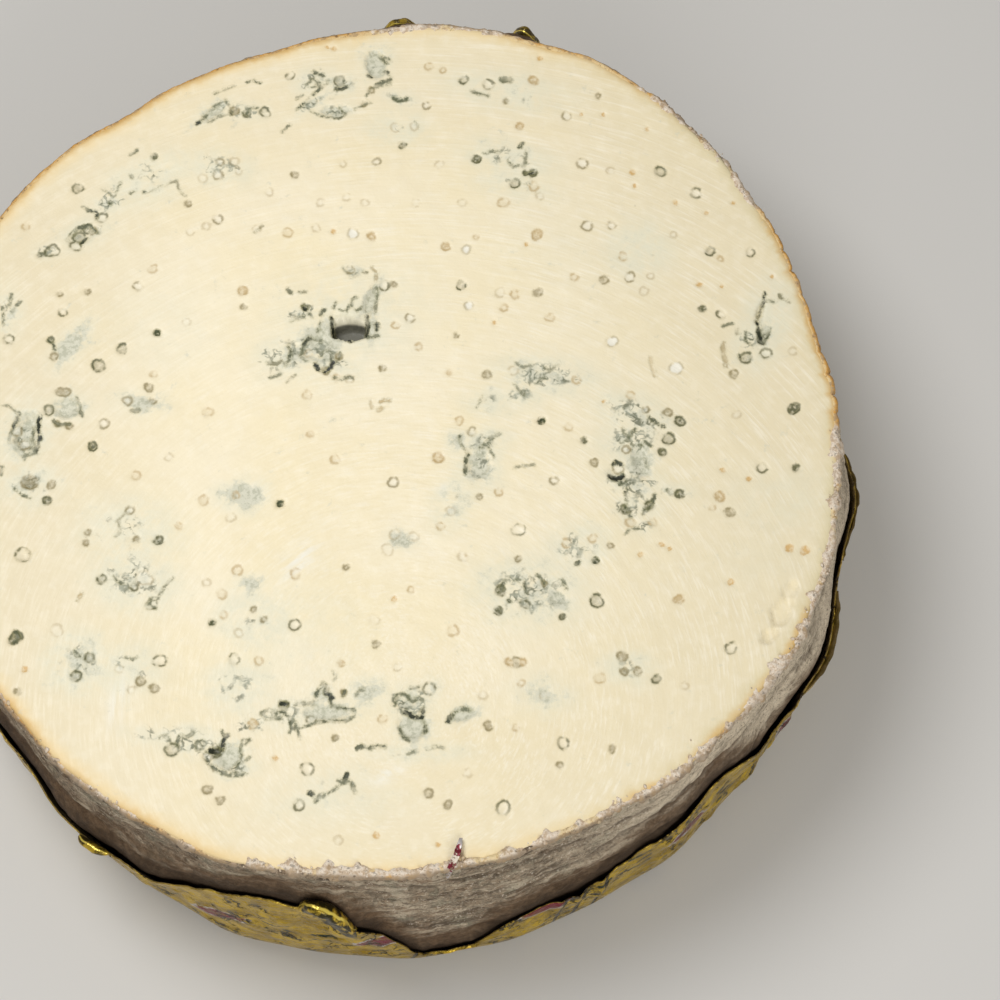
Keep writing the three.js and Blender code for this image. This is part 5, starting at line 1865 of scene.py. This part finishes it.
def rind_finish():
    """Dry mottled rind, dark brown at the foil as stain and painted shade, near-black painted shade
    just above the foil, with dark specks and pale flecks.
    """
    f = Finish("rind")
    mottle = f.noise(2.2, 5, 0.7)
    broad = f.noise(4.5, 4, 0.6, f.stored("flow").outputs["Vector"], 1.0)
    base, fine = rind_base(f, mottle, broad)
    above = f.number("above_foil")
    # Dark brown band over the foil: part stain, part painted shade.
    foot = f.plus(above, f.centred(broad, 26))
    brown = f.mix(f.step(mottle, 0.42, 0.62, 0.6), RIND_FOOT_STAIN_AND_SHADE, RIND_TAN)
    base = f.mix(f.step(foot, 25, 10, 0.9), base, brown)
    # Near-black painted shade in the crevice just above the foil.
    deep = f.roughened(above, 16, 7, 4, 0.6)
    base = f.mix(f.step(deep, 14, 2, 0.85), base, DEEP_PAINTED_SHADE)
    grain = f.noise(0.9, 4, 0.75)
    base = f.mix(f.step(grain, 0.54, 0.63, 0.6), base, RIND_DARK)
    flecks = f.times(f.step(grain, 0.45, 0.36, 0.75), f.step(mottle, 0.4, 0.6))
    base = f.mix(f.times(flecks, f.step(above, 12, 30)), base, RIND_FLECK)
    f.bump(f.plus(grain, f.times(f.plus(broad, fine), 0.8)), 0.6, 1.0)
    return f.finish(base, 0.85, specular=0.25)


CRUMB_PINK = srgb(238, 225, 207)
CRUMB_SHADE = srgb(198, 175, 148)
CRUMB_STAIN = srgb(172, 146, 112)
RIM_AMBER = srgb(212, 160, 82)
RIM_TAN = srgb(186, 138, 78)
RIM_BEIGE = srgb(230, 208, 164)
RIM_CREAM = srgb(228, 206, 158)


def rim_finish():
    """Pinkish-white crumbs where the crust is broad, and elsewhere a thin mottled crust.

    The thin crust goes from the paste's cream at its inner side to amber and tan at its outer.
    """
    f = Finish("rim_crust")
    mottle = f.noise(1.6, 4, 0.65)
    white = f.mix(f.step(mottle, 0.35, 0.6), CRUMB_SHADE, CRUMB_PINK)
    # Painted shade: the white turns to rind brown where the relief sinks in; the loose crumbs' relief
    # is random, so it browns some of them.
    white = f.mix(f.step(f.number("relief"), -0.4, -1.4, 0.6), white, RIND_BROWN)
    outward = f.plus(f.number("outward"), f.centred(mottle, 2.0))
    amber_level = f.roughened(f.number("amber"), 1.0, 4, 3)
    thin = f.mix(f.step(amber_level, 0.1, 0.8), RIM_BEIGE, RIM_AMBER)
    thin = f.mix(f.step(f.noise(1.3, 3), 0.5, 0.66, 0.7), thin, RIM_TAN)
    thin = f.mix(f.step(outward, 0.35, -0.7, 0.9), thin, RIM_CREAM)
    level = f.roughened(f.number("breadth"), 1.3, 3.5, 4, 0.6)
    colour = f.mix(f.step(level, 0.25, 0.5), thin, white)
    low = f.plus(f.number("outward"), f.centred(mottle, 1.2))
    browner = f.step(f.parts(f.place)[0], 0.13, 0.09, 0.85, 0.25)
    colour = f.mix(f.times(f.step(low, 0.25, 0.8), browner), colour, RIND_BROWN)
    colour = f.mix(f.step(f.noise(2.6, 4, 0.65), 0.5, 0.62, 0.7), colour, CRUMB_STAIN)
    specks = f.step(f.noise(1.6, 3, 0.65), 0.58, 0.68, 0.55)
    colour = f.mix(specks, colour, RIND_DARK)
    f.bump(f.noise(0.6, 4, 0.7), 0.3, 0.8)
    return f.finish(colour, 0.8, specular=0.25)


GOLD = srgb(196, 164, 46)
GOLD_DEEP = srgb(150, 122, 30)
FOIL_INSIDE = srgb(128, 108, 66)
FOIL_PAINTED_SHADE = srgb(34, 29, 10)
PRINT_MAROON = srgb(118, 26, 42)
PRINT_GREEN = srgb(40, 46, 26)
PRINT_SILVER = srgb(190, 182, 178)
CURL_GOLD = srgb(214, 180, 56)
CURL_PAINTED_HIGHLIGHT = srgb(252, 226, 104)
CURL_PAINTED_DARK_REFLECTION = srgb(48, 42, 8)
BRIGHT_LINE = 0.52  # share of a tongue's length at which its roll gets a painted highlight


def printed_gold(f, inner):
    """Gold with worn maroon ovals edged in silver, and green dashes, but not on the inner face."""
    gold = f.mix(f.step(f.noise(7, 3), 0.35, 0.65), GOLD, GOLD_DEEP)
    wobble = f.centred(f.noise(2.2, 3, 0.6), 1.6)
    worn = f.step(f.noise(3.0, 3), 0.36, 0.5)
    oval = f.plus(f.number("oval"), f.times(wobble, 0.35))
    silver = f.times(f.step(f.math("ABSOLUTE", oval), 0.14, 0.05), worn)
    maroon = f.times(f.step(oval, -0.04, -0.16), f.step(worn, 0.0, 1.0, 1.0, 0.7))
    dash = f.times(f.step(f.plus(f.number("dash"), wobble), 0.3, -0.1), worn)
    outside = f.step(inner, 0.4, 0.1)
    colour = f.mix(f.times(maroon, outside), gold, PRINT_MAROON)
    colour = f.mix(f.times(silver, outside), colour, PRINT_SILVER)
    return f.mix(f.times(dash, outside), colour, PRINT_GREEN)


def foil_finish():
    """Crumpled gold foil with painted shade in its creases and beside its pleats, and plain printed
    marks; dull bronze inside.
    """
    f = Finish("gold_foil")
    inner = f.number("inner")
    colour = printed_gold(f, inner)
    crease_line = f.math("ABSOLUTE", f.centred(f.noise(6, 3, 0.55, f.warped(5, 2.5)), 1.0))
    crease = f.times(f.step(crease_line, 0.05, 0.012), f.step(f.noise(11, 2), 0.46, 0.58))
    pleat = f.step(f.roughened(f.number("pleat"), 0.6, 3, 3), 0.45, 0.75)
    crease = f.math("MAXIMUM", crease, pleat)
    # Painted shade in the creases and beside the pleats, outside and inside.
    colour = f.mix(f.times(crease, 0.92), colour, FOIL_PAINTED_SHADE)
    colour = f.mix(inner, colour, f.mix(crease, FOIL_INSIDE, DEEP_PAINTED_SHADE))
    broad = f.cells(8.0, f.warped(5.0, 2.5), "F2")
    fine = f.cells(2.8, f.warped(2.0, 0.9), "F2")
    height = f.plus(f.plus(f.times(broad, 2.2), fine), f.times(crease, -1.2))
    f.bump(height, 1.0, 0.8)
    metallic = f.step(inner, 0.0, 1.0, 0.15, 0.6)
    return f.finish(colour, f.step(inner, 0.0, 1.0, 0.6, 0.3), metallic)


def curl_finish():
    """Turned foil: a painted highlight of bright gold along the roll's middle and gold with painted
    dark reflections beside it, or dull bronze with painted shade.
    """
    f = Finish("foil_curl")
    roll = f.roughened(f.number("roll"), 0.25, 6, 3)
    streak = f.noise(4, 4, 0.6)
    # Painted highlight along the roll's line, and painted dark reflections in streaks on the gold.
    from_line = f.math("ABSOLUTE", f.math("SUBTRACT", roll, BRIGHT_LINE))
    dull = f.step(from_line, 0.02, 0.06)
    gold = f.mix(f.step(streak, 0.45, 0.62), CURL_PAINTED_DARK_REFLECTION, CURL_GOLD)
    shiny = f.mix(dull, CURL_PAINTED_HIGHLIGHT, gold)
    # Painted shade in dark streaks on the dull bronze.
    bronze = f.mix(f.step(streak, 0.4, 0.65, 0.8), FOIL_INSIDE, FOIL_PAINTED_SHADE)
    colour = f.mix(f.number("bright"), bronze, shiny)
    f.bump(f.noise(2.5, 3), 0.8, 0.7)
    return f.finish(colour, 0.28, metallic=0.6)


def scrap_finish():
    """A printed scrap: silver, maroon, pale pink and silver again along its length."""
    f = Finish("foil_scrap")
    along = f.roughened(f.number("along"), 0.7, 1.4, 4, 0.7)
    colour = f.mix(f.step(along, 0.2, 0.24), PRINT_SILVER, PRINT_MAROON)
    colour = f.mix(f.step(along, 0.4, 0.45), colour, CRUMB_PINK)
    colour = f.mix(f.step(along, 0.62, 0.66), colour, PRINT_MAROON)
    colour = f.mix(f.step(along, 0.76, 0.8), colour, PRINT_SILVER)
    colour = f.mix(f.step(f.noise(1.2, 3), 0.52, 0.6, 0.8), colour, RIND_BROWN)
    return f.finish(colour, 0.35, metallic=0.4)


# ---- the stage ----

AIM_PLACE = (0, 0, 40)
LIGHTS = {  # place and size in mm, power in watts
    "key": ((-380, 180, 1050), 560, 6),
    "fill": ((250, -950, 620), 700, 4.5),
}
FLOOR_COLOUR = srgb(214, 212, 208)
FLOOR_ROUGHNESS = 0.9
FLOOR_REACH = 6.0  # metres
FLOOR_DROP = 0.0003
WORLD_COLOUR = srgb(236, 234, 230)
WORLD_STRENGTH = 0.42
NEAREST_SEEN = 0.05  # metres from the camera


def aim(place):
    """Turn that points an object's -Z from place to the aim's place."""
    x, y, z = np.array(AIM_PLACE, float) - np.array(place, float)
    return (math.atan2(math.hypot(x, y), -z), 0, math.atan2(y, x) - math.pi / 2)


def add_light(name, place, size, power):
    data = bpy.data.lights.new(name, "AREA")
    data.shape = "DISK"
    data.size = size * MM
    data.energy = power
    light = add_to_scene(name, data)
    light.location = [MM * c for c in place]
    light.rotation_euler = aim(place)


def add_stage():
    """A plain pale floor, a pale world and two soft lights."""
    floor = Finish("floor")
    signs = ((-1, -1), (1, -1), (1, 1), (-1, 1))
    mesh = bpy.data.meshes.new("floor")
    places = [(x * FLOOR_REACH, y * FLOOR_REACH, -FLOOR_DROP) for x, y in signs]
    mesh.from_pydata(places, [], [(0, 1, 2, 3)])
    mesh.materials.append(floor.finish(FLOOR_COLOUR, FLOOR_ROUGHNESS))
    add_to_scene("floor", mesh)

    world = bpy.data.worlds.new("studio")
    world.use_nodes = True
    background = world.node_tree.nodes["Background"]
    background.inputs["Color"].default_value = WORLD_COLOUR
    background.inputs["Strength"].default_value = WORLD_STRENGTH
    bpy.context.scene.world = world
    for name, settings in LIGHTS.items():
        add_light(name, *settings)


def add_camera():
    data = bpy.data.cameras.new("camera")
    data.sensor_width = SENSOR_WIDTH
    data.lens = FOCAL_PIXELS / PHOTO_SIZE * SENSOR_WIDTH
    data.clip_start = NEAREST_SEEN
    camera = add_to_scene("camera", data)
    camera.location = [MM * c for c in CAMERA_PLACE]
    camera.rotation_euler = (math.radians(90 - CAMERA_ELEVATION), 0, 0)
    bpy.context.scene.camera = camera


# ---- the whole ----


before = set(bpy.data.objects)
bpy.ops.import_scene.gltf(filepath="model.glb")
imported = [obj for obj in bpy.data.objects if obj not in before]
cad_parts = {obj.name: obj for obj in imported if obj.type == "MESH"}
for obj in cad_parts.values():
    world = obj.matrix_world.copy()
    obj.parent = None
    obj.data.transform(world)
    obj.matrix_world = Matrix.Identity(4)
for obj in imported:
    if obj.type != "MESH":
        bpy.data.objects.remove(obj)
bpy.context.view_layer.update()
bpy.context.scene.view_settings.view_transform = "Standard"

make_paste(paste_finish())
make_rind(rind_finish())
rim_material = rim_finish()
make_rim(rim_material)
make_crumbs(rim_material)
make_foil(foil_finish())
make_curls(curl_finish())
make_scrap(scrap_finish())
add_stage()
add_camera()
